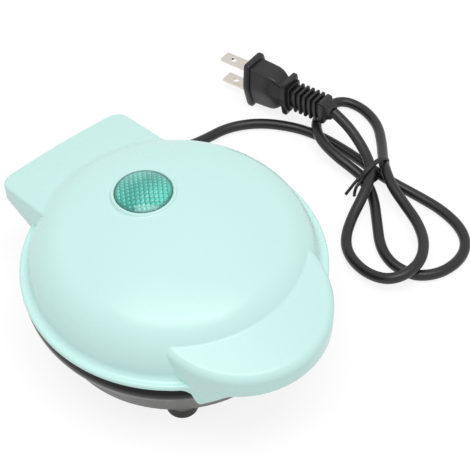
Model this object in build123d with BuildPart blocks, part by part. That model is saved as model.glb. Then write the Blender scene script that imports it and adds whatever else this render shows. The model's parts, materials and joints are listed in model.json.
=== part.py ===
from build123d import *
import os
from math import atan2, cos, degrees, pi, radians, sin, sqrt, tan

# Round waffle maker with a hinged lid, and its mains cord tied in three loops beside it.
# Millimetres. X runs to the right, Y from the handle towards the hinge, Z up.
# The origin is under the middle of the cooking plates, on the surface that the feet stand on.
os.makedirs("parts", exist_ok=True)

# Lid cover
LID_RADIUS = 63.5
RIM_WIDTH = 4.2
DOME_RADIUS = LID_RADIUS - RIM_WIDTH
RIM_HEIGHT = 38.0
DOME_RISE = 28.6
DOME_TOP = RIM_HEIGHT + DOME_RISE
CROWN_RADIUS = 160.0
SHOULDER_RADIUS = 20.0
RIM_THICKNESS = 2.0
RIM_ROUNDING = 1.0
RIM_COVE = 2.8
COVER_WALL = 2.2
EAR_WALL = 2.0

# Handle and hinge tab, which share one gently falling top
SHELF_RISE = 16.0
SHELF_HEIGHT = RIM_HEIGHT + SHELF_RISE
SHELF_INSET = 4.8
SHELF_START = DOME_RADIUS - SHELF_INSET
SHELF_FALL = 12.8
HANDLE_JUT = 13.3
REACH = LID_RADIUS + HANDLE_JUT
HANDLE_RADIUS = 38.3
HANDLE_TAIL = 12.0
HANDLE_EDGE = 3.0
HANDLE_LIFT = 1.2
EAR_DROP = 9.0
EAR_LOW = RIM_HEIGHT - EAR_DROP
EAR_FRONT_INSET = 8.7
EAR_FRONT = LID_RADIUS - EAR_FRONT_INSET
EAR_BACK_INSET = 12.2
EAR_BACK = LID_RADIUS - EAR_BACK_INSET
EAR_GAP = 0.7
TAB_WIDTH = 65.0
TAB_CORNER = 6.0
TAB_DROP = 2.0
TAB_LOW = RIM_HEIGHT - TAB_DROP
TAB_BACK_LIFT = 5.7
TAB_EDGE = 1.2

# Indicator lens and its lamp
LENS_BACK = 18.0
LENS_LEAN = 3.0
LENS_RADIUS = 11.9
LENS_CROWN = 2.6
LENS_WALL = 1.5
LENS_FLANGE = 1.5
LENS_FLANGE_THICKNESS = 1.1
BEZEL_RADIUS = 14.2
BEZEL_RISE = 1.0
BEZEL_ROUNDING = 0.4
LENS_SINK = 0.2
RETAINER_THICKNESS = 1.0
LAMP_RADIUS = 2.6
LAMP_LENGTH = 11.0
LAMP_CLEARANCE = 0.35
LAMP_HOLDER_WALL = 1.4

# Base shell
RIM_PARTING = 0.6
BASE_RIM_HEIGHT = RIM_HEIGHT - RIM_PARTING
BASE_INSET = 0.6
BASE_RADIUS = LID_RADIUS - BASE_INSET
BAND_LEAN = 0.3
BASE_RIM_RADIUS = BASE_RADIUS - BAND_LEAN
BAND_TOP_HEIGHT = 3.4
BAND_WIDEST = BASE_RIM_HEIGHT - BAND_TOP_HEIGHT
BAND_CURVE = 3.3
BAND_LOW_RADIUS = BASE_RADIUS - BAND_CURVE
BAND_CURVE_HEIGHT = 8.6
BAND_LOW = BAND_WIDEST - BAND_CURVE_HEIGHT
BOWL_STEP = 0.5
BOWL_TOP_RADIUS = BAND_LOW_RADIUS - BOWL_STEP
BOWL_FLARE = 7.4
BOWL_BOTTOM_RADIUS = BOWL_TOP_RADIUS - BOWL_FLARE
BOWL_BOTTOM = 6.0
BOWL_ROUNDING = 4.0
BOWL_WALL = 2.3
BAND_WALL = 4.3
RIM_INNER_RADIUS = BASE_RADIUS - BAND_WALL
SEAT_RISE = 2.2
RING_SEAT = BAND_LOW + SEAT_RISE
HATCH_THICKNESS = 1.6
HATCH_LEDGE = 2.5
HATCH_LEDGE_THICKNESS = 2.0
HATCH_SCREW_INSET = 5.0
HATCH_BOSS_RADIUS = 3.5
HATCH_BOSS_HEIGHT = 7.0
VENT_SPREAD = 9.0
VENT_PITCH = 6.5
VENT_COUNT = 6
VENT_LENGTH = 5.0
VENT_WIDTH = 1.8

# Feet
FOOT_SIDE_INSET = 24.2
FOOT_X = BOWL_BOTTOM_RADIUS - FOOT_SIDE_INSET
FOOT_END_INSET = 15.7
FOOT_Y = BOWL_BOTTOM_RADIUS - FOOT_END_INSET
FOOT_RADIUS = 6.8
FOOT_ROUNDING = 1.4
FOOT_STEM_RADIUS = 1.9
FOOT_HEAD_RADIUS = 2.6
FOOT_HEAD_HEIGHT = 1.0

# Cooking plates
PLATE_INSET = 5.1
PLATE_RADIUS = DOME_RADIUS - COVER_WALL - PLATE_INSET
PLATE_FLANGE_WIDTH = 4.0
PLATE_BODY_RADIUS = PLATE_RADIUS - PLATE_FLANGE_WIDTH
POCKET_WALL = 1.5
POCKET_RADIUS = PLATE_BODY_RADIUS - POCKET_WALL
PLATE_FLANGE = 4.3
PLATE_DEPTH = 10.4
POCKET_DEPTH = 7.4
STUD_DROP = 2.6
STUD_PITCH = 12.6
STUD_SIZE = 9.0
STUD_DRAFT = 10.0
STUD_FIELD_INSET = 3.3
STUD_FIELD_RADIUS = POCKET_RADIUS - STUD_FIELD_INSET
PLATE_GAP = 0.9
POST_RADIUS = 4.0
POST_INSET = 2.0
POST_SPREAD = PLATE_BODY_RADIUS - POST_RADIUS - POST_INSET
PLATE_EDGE = 0.8

# Ring that carries the lower plate, and liner that carries the upper one
RING_WALL = 2.0
LINER_THICKNESS = 2.2
LINER_LIFT = 0.2

# Heaters, reflectors and thermostats
HEATER_TUBE = 3.2
HEATER_GAP = 0.8
HEATER_RADIUS = POST_SPREAD - POST_RADIUS - HEATER_TUBE - HEATER_GAP
HEATER_SINK = 1.6
HEATER_GAP_ANGLE = 50.0
HEATER_PIN_RADIUS = 1.2
HEATER_PIN_LENGTH = 6.0
REFLECTOR_OVERHANG = 1.5
REFLECTOR_RADIUS = PLATE_BODY_RADIUS + REFLECTOR_OVERHANG
REFLECTOR_THICKNESS = 0.6
LOWER_REFLECTOR_SPACE = 7.2
UPPER_REFLECTOR_SPACE = 5.4
REFLECTOR_HOLE = 9.5
REFLECTOR_LIP = 2.6
LOWER_GAP_ANGLE = 30.0
UPPER_GAP_ANGLE = 90.0
WIRE_HOLE = 4.6
WIRE_HOLE_INSET = 1.0
WIRE_HOLE_SPREAD = HEATER_RADIUS - WIRE_HOLE_INSET
THERMOSTAT_RADIUS = 8.0
THERMOSTAT_HEIGHT = 6.4
TAG_THICKNESS = 0.8
TAG_WIDTH = 5.0
TAG_LENGTH = 3.0
FUSE_RADIUS = 1.9
FUSE_LENGTH = 16.0
FUSE_FRONT = 18.0

# Wiring
HARNESS_LIFT = 9.0
HARNESS_HEIGHT = RIM_HEIGHT + HARNESS_LIFT
HARNESS_HOLE = 2.8
HARNESS_SIDE = 8.0
HARNESS_RISE = 6.5
BLOCK_LENGTH = 24.0
BLOCK_WIDTH = 13.0
BLOCK_HEIGHT = 8.0
BLOCK_X = 13.0
BLOCK_Y = 17.0
BLOCK_CHAMFER = 0.8
BLOCK_SCREW_HOLE = 2.0
WIRE_RADIUS = 0.9

# Fasteners
SCREW_RADIUS = 1.5
SCREW_HEAD_RADIUS = 2.9
SCREW_HEAD_HEIGHT = 2.0
SCREW_SINK = 5.0
SCREW_BITE = 5.0
SCREW_SLOT = 0.6
SMALL_SCREW_RADIUS = 1.0
SMALL_HEAD_RADIUS = 1.8
SMALL_HEAD_HEIGHT = 1.4
SMALL_SCREW_BITE = 5.0
LINER_POST_HEIGHT = 9.5

# Hatch in the base's floor, inside the circle of the lower plate's screws
HATCH_GAP = 2.1
HATCH_RADIUS = POST_SPREAD - SCREW_HEAD_RADIUS - HATCH_GAP
HATCH_SCREW_SPREAD = HATCH_RADIUS - HATCH_SCREW_INSET

# Hinge
PIN_RADIUS = 2.0
BARREL_RADIUS = 4.8
HINGE_GAP = 1.0
HINGE_BACK = LID_RADIUS + HINGE_GAP + BARREL_RADIUS
HINGE_DROP = 1.0
HINGE_HEIGHT = RIM_HEIGHT - HINGE_DROP
TAB_GAP = 0.8
TAB_REACH = HINGE_BACK + BARREL_RADIUS + TAB_GAP + COVER_WALL
BASE_LUG_INNER = 15.0
LUG_WIDTH = 6.0
LUG_SIDE_GAP = 0.4
PIN_END = 1.4
CLIP_THICKNESS = 0.6
CLIP_RADIUS = 3.4
CLIP_GROOVE = 0.5
LUG_ARM_DROP = 9.0
LUG_ARM_LOW = RIM_HEIGHT - LUG_ARM_DROP
ARM_HEIGHT = 3.8
ARM_TUCK = 4.0
ARM_START = PLATE_RADIUS - ARM_TUCK

# Fits
FIT = 0.2
RUNNING = 0.05
THREAD = 0.02
TOUCH = 0.02

# Mains cord where it leaves the base
CORD_RADIUS = 2.5
CORD_EXIT_HEIGHT = 14.0
CORD_EXIT_ANGLE = 54.0
BOWL_AT_EXIT = BOWL_BOTTOM_RADIUS + BOWL_FLARE * (CORD_EXIT_HEIGHT - BOWL_BOTTOM) / (
    BAND_LOW - BOWL_BOTTOM)
BOOT_DEPTH = 6.55
BOOT_INSIDE = BOWL_AT_EXIT - BOOT_DEPTH
BOOT_FLANGE_RADIUS = 5.1
BOOT_FLANGE_THICKNESS = 1.5
BOOT_FLANGE_END = BOOT_INSIDE + BOOT_FLANGE_THICKNESS
BOOT_NECK_RADIUS = 4.6
BOOT_STAND_OFF = 2.85
BOOT_START = BOWL_AT_EXIT + BOOT_STAND_OFF
BOOT_SHOULDER_RADIUS = 6.0
BOOT_TIP_RADIUS = 3.7
BOOT_LENGTH = 15.4
BOOT_END = BOOT_START + BOOT_LENGTH
BOOT_SHOULDER = 2.4
BOOT_GROOVES = 4
BOOT_GROOVE_WIDTH = 1.2
BOOT_GROOVE_SINK = 0.3
INNER_CORD_LENGTH = 16.0
CORD_FLOOR = 2.6
CORD_STRAIGHT = 6.1

# Cord bundle, its tie and the plug
BUNDLE_GAP = 0.6
TIE_RADIUS = 0.75
PLUG_FACE = (115.7, 80.2, 13.0)
PLUG_TAIL = (125.1, 33.1, 18.0)
TAIL_MIDDLE = (124.6, 14.0, 13.4)
PLUG_SLABS = [(0.0, 3.3, 8.5, 6.2, 12.6), (3.3, 14.7, 7.0, 5.2, 10.2), (21.2, 2.6, 6.8, 5.6, 9.4),
              (23.8, 1.8, 5.2, 4.6, 6.9), (42.0, 3.0, 4.9, 4.3, 6.2)]
PLUG_BODY_END = 18.0
PLUG_BODY_SIZE = (7.0, 5.2, 10.2)
PLUG_SHOULDER_END = 21.6
PLUG_SHOULDER_SIZE = (4.8, 3.8, 6.0)
PLUG_CORE_SIZE = (3.9, 3.3, 4.6)
PLUG_RIBS = 5
PLUG_RIB_START = 27.4
PLUG_RIB_PITCH = 2.95
PLUG_RIB_THICKNESS = 1.5
PLUG_RIB_SIZE = (4.9, 4.3, 6.2)
BLADE_LENGTH = 17.0
BLADE_WIDTH = 6.35
BLADE_THICKNESS = 1.5
BLADE_SPACING = 12.7
BLADE_ROUNDING = 2.0
BLADE_HOLE_RADIUS = 1.6
BLADE_HOLE_FROM_FACE = 10.8
CLAMP_SPREAD = 39.5
CLAMP_WIDTH = 5.0
CLAMP_LENGTH = 20.0
CLAMP_SCREW_SPACING = 14.0
CLAMP_GAP = 0.4
CLAMP_BAR = 3.2


def dome_outline(inset, foot_height):
    """Foot, shoulder middle, meeting point, crown middle and top of the dome's line.

    The crown and the shoulder are two circles that touch, moved in by the wall."""
    crown = CROWN_RADIUS - inset
    shoulder = SHOULDER_RADIUS - inset
    shoulder_r = DOME_RADIUS - SHOULDER_RADIUS
    crown_z = DOME_TOP - CROWN_RADIUS
    between = CROWN_RADIUS - SHOULDER_RADIUS
    shoulder_z = crown_z + sqrt(between**2 - shoulder_r**2)
    lean = atan2(shoulder_z - crown_z, shoulder_r)
    foot = (shoulder_r + sqrt(shoulder**2 - (foot_height - shoulder_z) ** 2), foot_height)
    shoulder_middle = (shoulder_r + shoulder * cos(lean / 2),
                       shoulder_z + shoulder * sin(lean / 2))
    meeting = (crown * cos(lean), crown_z + crown * sin(lean))
    crown_lean = (lean + pi / 2) / 2
    crown_middle = (crown * cos(crown_lean), crown_z + crown * sin(crown_lean))
    top = (0, crown_z + crown)
    return foot, shoulder_middle, meeting, crown_middle, top


def shelf_z(r):
    """Height of the falling top of the handle and the tab at distance r from the axis."""
    return SHELF_HEIGHT - (r - SHELF_START) * tan(radians(SHELF_FALL))


def on_circle(radius, angle, height):
    """A point at a polar angle from +X."""
    return (radius * cos(radians(angle)), radius * sin(radians(angle)), height)


handle_centre = REACH - HANDLE_RADIUS
rim_top = RIM_HEIGHT + RIM_THICKNESS
ear_inner = LID_RADIUS - EAR_WALL
handle_underside = RIM_HEIGHT + HANDLE_LIFT
cover_inner = DOME_RADIUS - COVER_WALL
lens_z = DOME_TOP - CROWN_RADIUS + sqrt(CROWN_RADIUS**2 - LENS_BACK**2)
lens_plane = Plane((0, LENS_BACK, lens_z), x_dir=(1, 0, 0),
                   z_dir=(0, sin(radians(LENS_LEAN)), cos(radians(LENS_LEAN))))

lower_top = RIM_HEIGHT - PLATE_GAP / 2
lower_bottom = lower_top - PLATE_DEPTH
upper_bottom = RIM_HEIGHT + PLATE_GAP / 2
upper_top = upper_bottom + PLATE_DEPTH
lower_reflector_top = lower_bottom - LOWER_REFLECTOR_SPACE
lower_reflector_bottom = lower_reflector_top - REFLECTOR_THICKNESS
upper_reflector_bottom = upper_top + UPPER_REFLECTOR_SPACE
upper_reflector_top = upper_reflector_bottom + REFLECTOR_THICKNESS
lug_outer = BASE_LUG_INNER + LUG_WIDTH
lid_lug_inner = lug_outer + LUG_SIDE_GAP
lid_lug_outer = lid_lug_inner + LUG_WIDTH
pin_half = lid_lug_outer + PIN_END
liner_inner = PLATE_RADIUS + 1.5 * FIT
liner_bottom = RIM_HEIGHT + LINER_LIFT
liner_top = liner_bottom + LINER_THICKNESS
liner_screw_spread = cover_inner - SMALL_HEAD_RADIUS - 2 * FIT
floor_z = BOWL_BOTTOM + BOWL_WALL
hatch_top = BOWL_BOTTOM + HATCH_THICKNESS

# The falling top that the handle and the tab share, as a tall solid under a cone
with BuildPart() as shelf_top:
    with BuildSketch(Plane.XZ):
        with BuildLine():
            Polyline((0, 0), (0, shelf_z(0)), (2 * REACH, shelf_z(2 * REACH)), (2 * REACH, 0),
                     close=True)
        make_face()
    revolve(axis=Axis.Z)

with BuildPart() as shelf_roof:
    add(shelf_top.part.moved(Location((0, 0, -COVER_WALL))))

# The lid's round body, outside and inside
with BuildPart() as dome_outside:
    with BuildSketch(Plane.XZ):
        foot, shoulder_middle, meeting, crown_middle, top = dome_outline(0, rim_top)
        with BuildLine():
            Polyline(top, (0, RIM_HEIGHT), (LID_RADIUS, RIM_HEIGHT), (LID_RADIUS, rim_top), foot)
            ThreePointArc(foot, shoulder_middle, meeting)
            ThreePointArc(meeting, crown_middle, top)
        make_face()
        fillet(vertices().sort_by_distance(foot)[0], RIM_COVE)
        fillet(vertices().sort_by_distance((LID_RADIUS, rim_top))[0], RIM_ROUNDING)
    revolve(axis=Axis.Z)

with BuildPart() as dome_inside:
    with BuildSketch(Plane.XZ):
        foot, shoulder_middle, meeting, crown_middle, top = dome_outline(COVER_WALL, rim_top)
        with BuildLine():
            Polyline(top, (0, RIM_HEIGHT), (foot[0], RIM_HEIGHT), foot)
            ThreePointArc(foot, shoulder_middle, meeting)
            ThreePointArc(meeting, crown_middle, top)
        make_face()
    revolve(axis=Axis.Z)

# What lies below the handle's underside and the two ears beside it
with BuildPart() as under_handle:
    with BuildSketch(Plane.YZ):
        with BuildLine():
            FilletPolyline((-2 * REACH, handle_underside),
                           (-EAR_FRONT - handle_underside + EAR_LOW, handle_underside),
                           (-EAR_FRONT, EAR_LOW), (-EAR_BACK, RIM_HEIGHT), (0, RIM_HEIGHT),
                           radius=[0.8, 2.5, 2.0])
            Polyline((0, RIM_HEIGHT), (0, 0), (-2 * REACH, 0), (-2 * REACH, handle_underside))
        make_face()
    extrude(amount=LID_RADIUS, both=True)

# Handle, a round block cut to the shelf, and the two ears on the rim's circle
with BuildPart() as handle_block:
    with BuildSketch(Plane.XY.offset(EAR_LOW)):
        with Locations((0, -handle_centre)):
            Circle(HANDLE_RADIUS)
        with Locations((0, HANDLE_TAIL - handle_centre)):
            Rectangle(2 * HANDLE_RADIUS, 2 * HANDLE_RADIUS, mode=Mode.SUBTRACT,
                      align=(Align.CENTER, Align.MIN))
    extrude(amount=SHELF_HEIGHT)
    add(shelf_top.part, mode=Mode.INTERSECT)
    fillet(faces().filter_by(GeomType.CONE).edges().sort_by(Axis.Y)[:-1], HANDLE_EDGE)
    with BuildSketch(Plane.XY.offset(EAR_LOW)):
        Circle(LID_RADIUS)
        with Locations((0, -handle_centre)):
            Rectangle(2 * LID_RADIUS, 2 * LID_RADIUS, mode=Mode.SUBTRACT,
                      align=(Align.CENTER, Align.MIN))
    extrude(amount=rim_top - RIM_ROUNDING - EAR_LOW)
    with BuildSketch(Plane.XY.offset(EAR_LOW)):
        Circle(ear_inner)
    extrude(amount=RIM_HEIGHT - EAR_LOW, mode=Mode.SUBTRACT)
    add(under_handle.part, mode=Mode.SUBTRACT)

with BuildPart() as handle_hollow:
    with BuildSketch(Plane.XY.offset(EAR_LOW - 1)):
        with Locations((0, -handle_centre)):
            Circle(HANDLE_RADIUS - COVER_WALL)
    extrude(amount=SHELF_HEIGHT)
    add(shelf_roof.part, mode=Mode.INTERSECT)
    add(dome_outside.part, mode=Mode.SUBTRACT)

# Hinge tab, a rounded block over the hinge
tab_start = handle_centre
with BuildPart() as tab_block:
    with BuildSketch(Plane.XY.offset(TAB_LOW)):
        with Locations((0, (TAB_REACH + tab_start) / 2)):
            Rectangle(TAB_WIDTH, TAB_REACH - tab_start)
        fillet(vertices().group_by(Axis.Y)[-1], TAB_CORNER)
    extrude(amount=SHELF_HEIGHT)
    add(shelf_top.part, mode=Mode.INTERSECT)
    fillet(faces().filter_by(GeomType.CONE).edges().sort_by(Axis.Y)[1:], TAB_EDGE)
    with BuildSketch(Plane.XY.offset(TAB_LOW)):
        Circle(LID_RADIUS)
    extrude(amount=RIM_HEIGHT - TAB_LOW, mode=Mode.SUBTRACT)
    with BuildSketch(Plane.YZ):
        Polygon((SHELF_START, TAB_LOW), (TAB_REACH, TAB_LOW + TAB_BACK_LIFT),
                (TAB_REACH, TAB_LOW), align=None)
    extrude(amount=TAB_WIDTH, both=True, mode=Mode.SUBTRACT)

with BuildPart() as tab_hollow:
    with BuildSketch(Plane.XY.offset(TAB_LOW - 1)):
        with Locations((0, (TAB_REACH - COVER_WALL + tab_start) / 2)):
            Rectangle(TAB_WIDTH - 2 * COVER_WALL, TAB_REACH - COVER_WALL - tab_start)
        fillet(vertices().group_by(Axis.Y)[-1], TAB_CORNER - COVER_WALL)
    extrude(amount=SHELF_HEIGHT)
    add(shelf_roof.part, mode=Mode.INTERSECT)
    add(dome_outside.part, mode=Mode.SUBTRACT)

# Lid cover
arm_top = liner_bottom + ARM_HEIGHT
arm_middle = lid_lug_inner + LUG_WIDTH / 2
lens_seat = sqrt(CROWN_RADIUS**2 - BEZEL_RADIUS**2) - CROWN_RADIUS - COVER_WALL
lens_flange_radius = LENS_RADIUS + LENS_FLANGE
collar_bottom = lens_seat - LENS_FLANGE_THICKNESS - TOUCH
collar_inner = lens_flange_radius + FIT
collar_radius = collar_inner + RETAINER_THICKNESS
liner_post_radius = SMALL_HEAD_RADIUS + FIT / 2
with BuildPart() as lid_cover:
    add(dome_outside.part)
    add(handle_block.part)
    add(tab_block.part)
    add(dome_inside.part, mode=Mode.SUBTRACT)
    add(handle_hollow.part, mode=Mode.SUBTRACT)
    add(tab_hollow.part, mode=Mode.SUBTRACT)
    with BuildSketch(lens_plane.offset(-COVER_WALL)):
        Circle(BEZEL_RADIUS)
    extrude(amount=BEZEL_RISE + COVER_WALL)
    fillet(edges().group_by(Axis.Z)[-1], BEZEL_ROUNDING)
    with BuildSketch(lens_plane.offset(-COVER_WALL)):
        Circle(collar_radius)
    extrude(amount=collar_bottom + COVER_WALL)
    with BuildSketch(lens_plane.offset(lens_seat)):
        Circle(collar_inner)
    extrude(amount=collar_bottom - lens_seat, mode=Mode.SUBTRACT)
    with BuildSketch(lens_plane.offset(BEZEL_RISE)):
        Circle(LENS_RADIUS + FIT / 2)
    extrude(amount=collar_bottom - BEZEL_RISE, mode=Mode.SUBTRACT)
    with BuildSketch(Plane.XY.offset(liner_top)):
        with PolarLocations(liner_screw_spread, 4, start_angle=45):
            Circle(liner_post_radius)
    extrude(amount=LINER_POST_HEIGHT)
    with BuildSketch(Plane.XY.offset(liner_top)):
        with PolarLocations(liner_screw_spread, 4, start_angle=45):
            Circle(SMALL_SCREW_RADIUS + THREAD)
    extrude(amount=SMALL_SCREW_BITE + FIT, mode=Mode.SUBTRACT)
    with BuildSketch(Plane.XY.offset(RIM_HEIGHT - 1)):
        for side in (-1, 1):
            with Locations((side * arm_middle, LID_RADIUS)):
                Rectangle(LUG_WIDTH + 3 * FIT, 2 * (LID_RADIUS - ARM_START))
    extrude(amount=arm_top + FIT - RIM_HEIGHT + 1, mode=Mode.SUBTRACT)
    with BuildSketch(Plane.XZ.offset(-LID_RADIUS)):
        with Locations((HARNESS_SIDE, HARNESS_HEIGHT)):
            Circle(HARNESS_HOLE)
    extrude(amount=2 * (LID_RADIUS - cover_inner), mode=Mode.SUBTRACT)
lid_cover.part.label = "lid_cover"
export_step(lid_cover.part, "parts/lid_cover.step")

# Indicator lens, a thin cap with a flange held under the cover
lens_section = Plane(lens_plane.origin, x_dir=(1, 0, 0), z_dir=-lens_plane.y_dir)
lens_axis = Axis(lens_plane.origin, lens_plane.z_dir)
lens_edge = BEZEL_RISE - LENS_SINK


def cap_middle(radius, edge, rise):
    """A point halfway along a shallow arc from (radius, edge) up to the axis."""
    sphere = (radius**2 + rise**2) / (2 * rise)
    return (radius / 2, edge + rise - sphere + sqrt(sphere**2 - radius**2 / 4))


lens_inner_radius = LENS_RADIUS - LENS_WALL
with BuildPart() as indicator_lens:
    with BuildSketch(lens_section):
        with BuildLine():
            lens_inside_edge = (lens_inner_radius, lens_edge - LENS_WALL)
            inside_top = (0, lens_edge + LENS_CROWN - LENS_WALL)
            Polyline(lens_inside_edge, (lens_inner_radius, lens_seat - LENS_FLANGE_THICKNESS),
                     (lens_flange_radius, lens_seat - LENS_FLANGE_THICKNESS),
                     (lens_flange_radius, lens_seat), (LENS_RADIUS, lens_seat),
                     (LENS_RADIUS, lens_edge))
            ThreePointArc((LENS_RADIUS, lens_edge),
                          cap_middle(LENS_RADIUS, lens_edge, LENS_CROWN),
                          (0, lens_edge + LENS_CROWN))
            Line((0, lens_edge + LENS_CROWN), inside_top)
            ThreePointArc(inside_top,
                          cap_middle(lens_inner_radius, lens_edge - LENS_WALL, LENS_CROWN),
                          lens_inside_edge)
        make_face()
    revolve(axis=lens_axis)
indicator_lens.part.label = "indicator_lens"
export_step(indicator_lens.part, "parts/indicator_lens.step")

# Retainer ring, welded under the cover's collar
with BuildPart() as lens_retainer:
    with BuildSketch(lens_plane.offset(collar_bottom)):
        Circle(collar_radius)
        Circle(lens_inner_radius, mode=Mode.SUBTRACT)
    extrude(amount=-RETAINER_THICKNESS)
lens_retainer.part.label = "lens_retainer"
export_step(lens_retainer.part, "parts/lens_retainer.step")

# Lid liner, the ring that carries the upper plate and the lid's two hinge lugs
ledge_inner = PLATE_BODY_RADIUS + 1.5 * FIT
upper_flange_top = upper_bottom + PLATE_FLANGE
with BuildPart() as lid_liner:
    with BuildSketch(Plane.XZ):
        with BuildLine():
            Polyline((liner_inner, liner_bottom), (cover_inner - FIT, liner_bottom),
                     (cover_inner - FIT, liner_top), (liner_inner + RING_WALL, liner_top),
                     (liner_inner + RING_WALL, upper_flange_top + RING_WALL),
                     (ledge_inner, upper_flange_top + RING_WALL),
                     (ledge_inner, upper_flange_top), (liner_inner, upper_flange_top),
                     close=True)
        make_face()
    revolve(axis=Axis.Z)
    with BuildSketch(Plane.XY.offset(liner_bottom)):
        for side in (-1, 1):
            with Locations((side * arm_middle, ARM_START)):
                Rectangle(LUG_WIDTH, HINGE_BACK - ARM_START, align=(Align.CENTER, Align.MIN))
        Circle(liner_inner, mode=Mode.SUBTRACT)
    extrude(amount=ARM_HEIGHT)
    for side in (-1, 1):
        with BuildSketch(Plane.YZ.offset(side * arm_middle)):
            with Locations((HINGE_BACK, HINGE_HEIGHT)):
                Circle(BARREL_RADIUS)
        extrude(amount=LUG_WIDTH / 2, both=True)
        with BuildSketch(Plane.YZ.offset(side * arm_middle)):
            with Locations((HINGE_BACK, HINGE_HEIGHT)):
                Circle(PIN_RADIUS + RUNNING)
        extrude(amount=LUG_WIDTH, both=True, mode=Mode.SUBTRACT)
    with BuildSketch(Plane.XY.offset(liner_top)):
        with PolarLocations(liner_screw_spread, 4, start_angle=45):
            Circle(liner_post_radius + FIT)
    extrude(amount=LINER_POST_HEIGHT, mode=Mode.SUBTRACT)
    with PolarLocations(liner_screw_spread, 4, start_angle=45):
        with Locations((0, 0, liner_bottom)):
            Cylinder(SMALL_HEAD_RADIUS + FIT / 2, SMALL_HEAD_HEIGHT, mode=Mode.SUBTRACT,
                     align=(Align.CENTER, Align.CENTER, Align.MIN))
            Cylinder(SMALL_SCREW_RADIUS + FIT / 2, 2 * LINER_THICKNESS, mode=Mode.SUBTRACT)
lid_liner.part.label = "lid_liner"
export_step(lid_liner.part, "parts/lid_liner.step")


def set_of_screws(name, places, head_z, up, shank, head, head_height, length):
    """Pan-head screws at the given places, pointing up or down, as separate solids."""
    with BuildPart() as screws:
        for place in places:
            with Locations((place[0], place[1], head_z)):
                Cylinder(head, head_height, align=(Align.CENTER, Align.CENTER,
                                                   Align.MAX if up else Align.MIN))
                Cylinder(shank, length, align=(Align.CENTER, Align.CENTER,
                                               Align.MIN if up else Align.MAX))
        with BuildSketch(Plane.XY.offset(head_z - head_height if up else head_z + head_height)):
            with Locations(*[(place[0], place[1]) for place in places]):
                Rectangle(1.4 * head, SCREW_SLOT)
                Rectangle(SCREW_SLOT, 1.4 * head)
        extrude(amount=(head_height if up else -head_height) / 2, mode=Mode.SUBTRACT)
    screws.part.label = name
    export_step(screws.part, "parts/" + name + ".step")


liner_places = [on_circle(liner_screw_spread, 45 + 90 * i, 0) for i in range(4)]
set_of_screws("liner_screws", liner_places, liner_bottom + SMALL_HEAD_HEIGHT, True,
              SMALL_SCREW_RADIUS, SMALL_HEAD_RADIUS, SMALL_HEAD_HEIGHT,
              liner_top - liner_bottom - SMALL_HEAD_HEIGHT + SMALL_SCREW_BITE)

# One cooking plate lying rim upwards, with its studs, as both plates start
with BuildPart() as plate_blank:
    with BuildSketch(Plane.XZ):
        with BuildLine():
            Polyline((0, -PLATE_DEPTH), (PLATE_BODY_RADIUS, -PLATE_DEPTH),
                     (PLATE_BODY_RADIUS, -PLATE_FLANGE), (PLATE_RADIUS, -PLATE_FLANGE),
                     (PLATE_RADIUS, 0), (POCKET_RADIUS + PLATE_EDGE, 0),
                     (POCKET_RADIUS, -POCKET_DEPTH), (0, -POCKET_DEPTH), close=True)
        make_face()
    revolve(axis=Axis.Z)
    fillet(edges().filter_by(GeomType.CIRCLE).group_by(Axis.Z)[-1], PLATE_EDGE)
    with BuildSketch(Plane.XY.offset(-POCKET_DEPTH)):
        with GridLocations(STUD_PITCH, STUD_PITCH, 7, 7):
            Rectangle(STUD_SIZE, STUD_SIZE)
        Circle(STUD_FIELD_RADIUS, mode=Mode.INTERSECT)
    extrude(amount=POCKET_DEPTH - STUD_DROP, taper=STUD_DRAFT)
    heater_line = -PLATE_DEPTH + HEATER_SINK - HEATER_TUBE
    with BuildSketch(Plane.XZ):
        with Locations((HEATER_RADIUS, heater_line)):
            Circle(HEATER_TUBE + TOUCH)
    revolve(axis=Axis.Z, mode=Mode.SUBTRACT)


def post_places(count=4):
    """Places of the posts and screws under and over the plates."""
    return [on_circle(POST_SPREAD, 360 / count * i, 0) for i in range(count)]


# Lower cooking plate
with BuildPart() as lower_plate:
    add(plate_blank.part.moved(Location((0, 0, lower_top))))
    with BuildSketch(Plane.XY.offset(lower_reflector_top)):
        with PolarLocations(POST_SPREAD, 4):
            Circle(POST_RADIUS)
    extrude(amount=LOWER_REFLECTOR_SPACE)
    with BuildSketch(Plane.XY.offset(lower_reflector_top)):
        with PolarLocations(POST_SPREAD, 4):
            Circle(SCREW_RADIUS + THREAD)
    extrude(amount=SCREW_BITE + FIT, mode=Mode.SUBTRACT)
lower_plate.part.label = "lower_plate"
export_step(lower_plate.part, "parts/lower_plate.step")

# Upper cooking plate, the same plate turned over
with BuildPart() as upper_plate:
    add(plate_blank.part.moved(Location((0, 0, upper_bottom), (180, 0, 0))))
    with BuildSketch(Plane.XY.offset(upper_top)):
        with PolarLocations(POST_SPREAD, 4):
            Circle(POST_RADIUS)
    extrude(amount=UPPER_REFLECTOR_SPACE)
    with BuildSketch(Plane.XY.offset(upper_reflector_bottom)):
        with PolarLocations(POST_SPREAD, 4):
            Circle(SCREW_RADIUS + THREAD)
    extrude(amount=-SCREW_BITE - FIT, mode=Mode.SUBTRACT)
upper_plate.part.label = "upper_plate"
export_step(upper_plate.part, "parts/upper_plate.step")


def radial_plane(angle):
    """The upright plane through the axis at a polar angle."""
    return Plane((0, 0, 0), x_dir=on_circle(1, angle, 0), z_dir=on_circle(1, angle - 90, 0))


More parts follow.
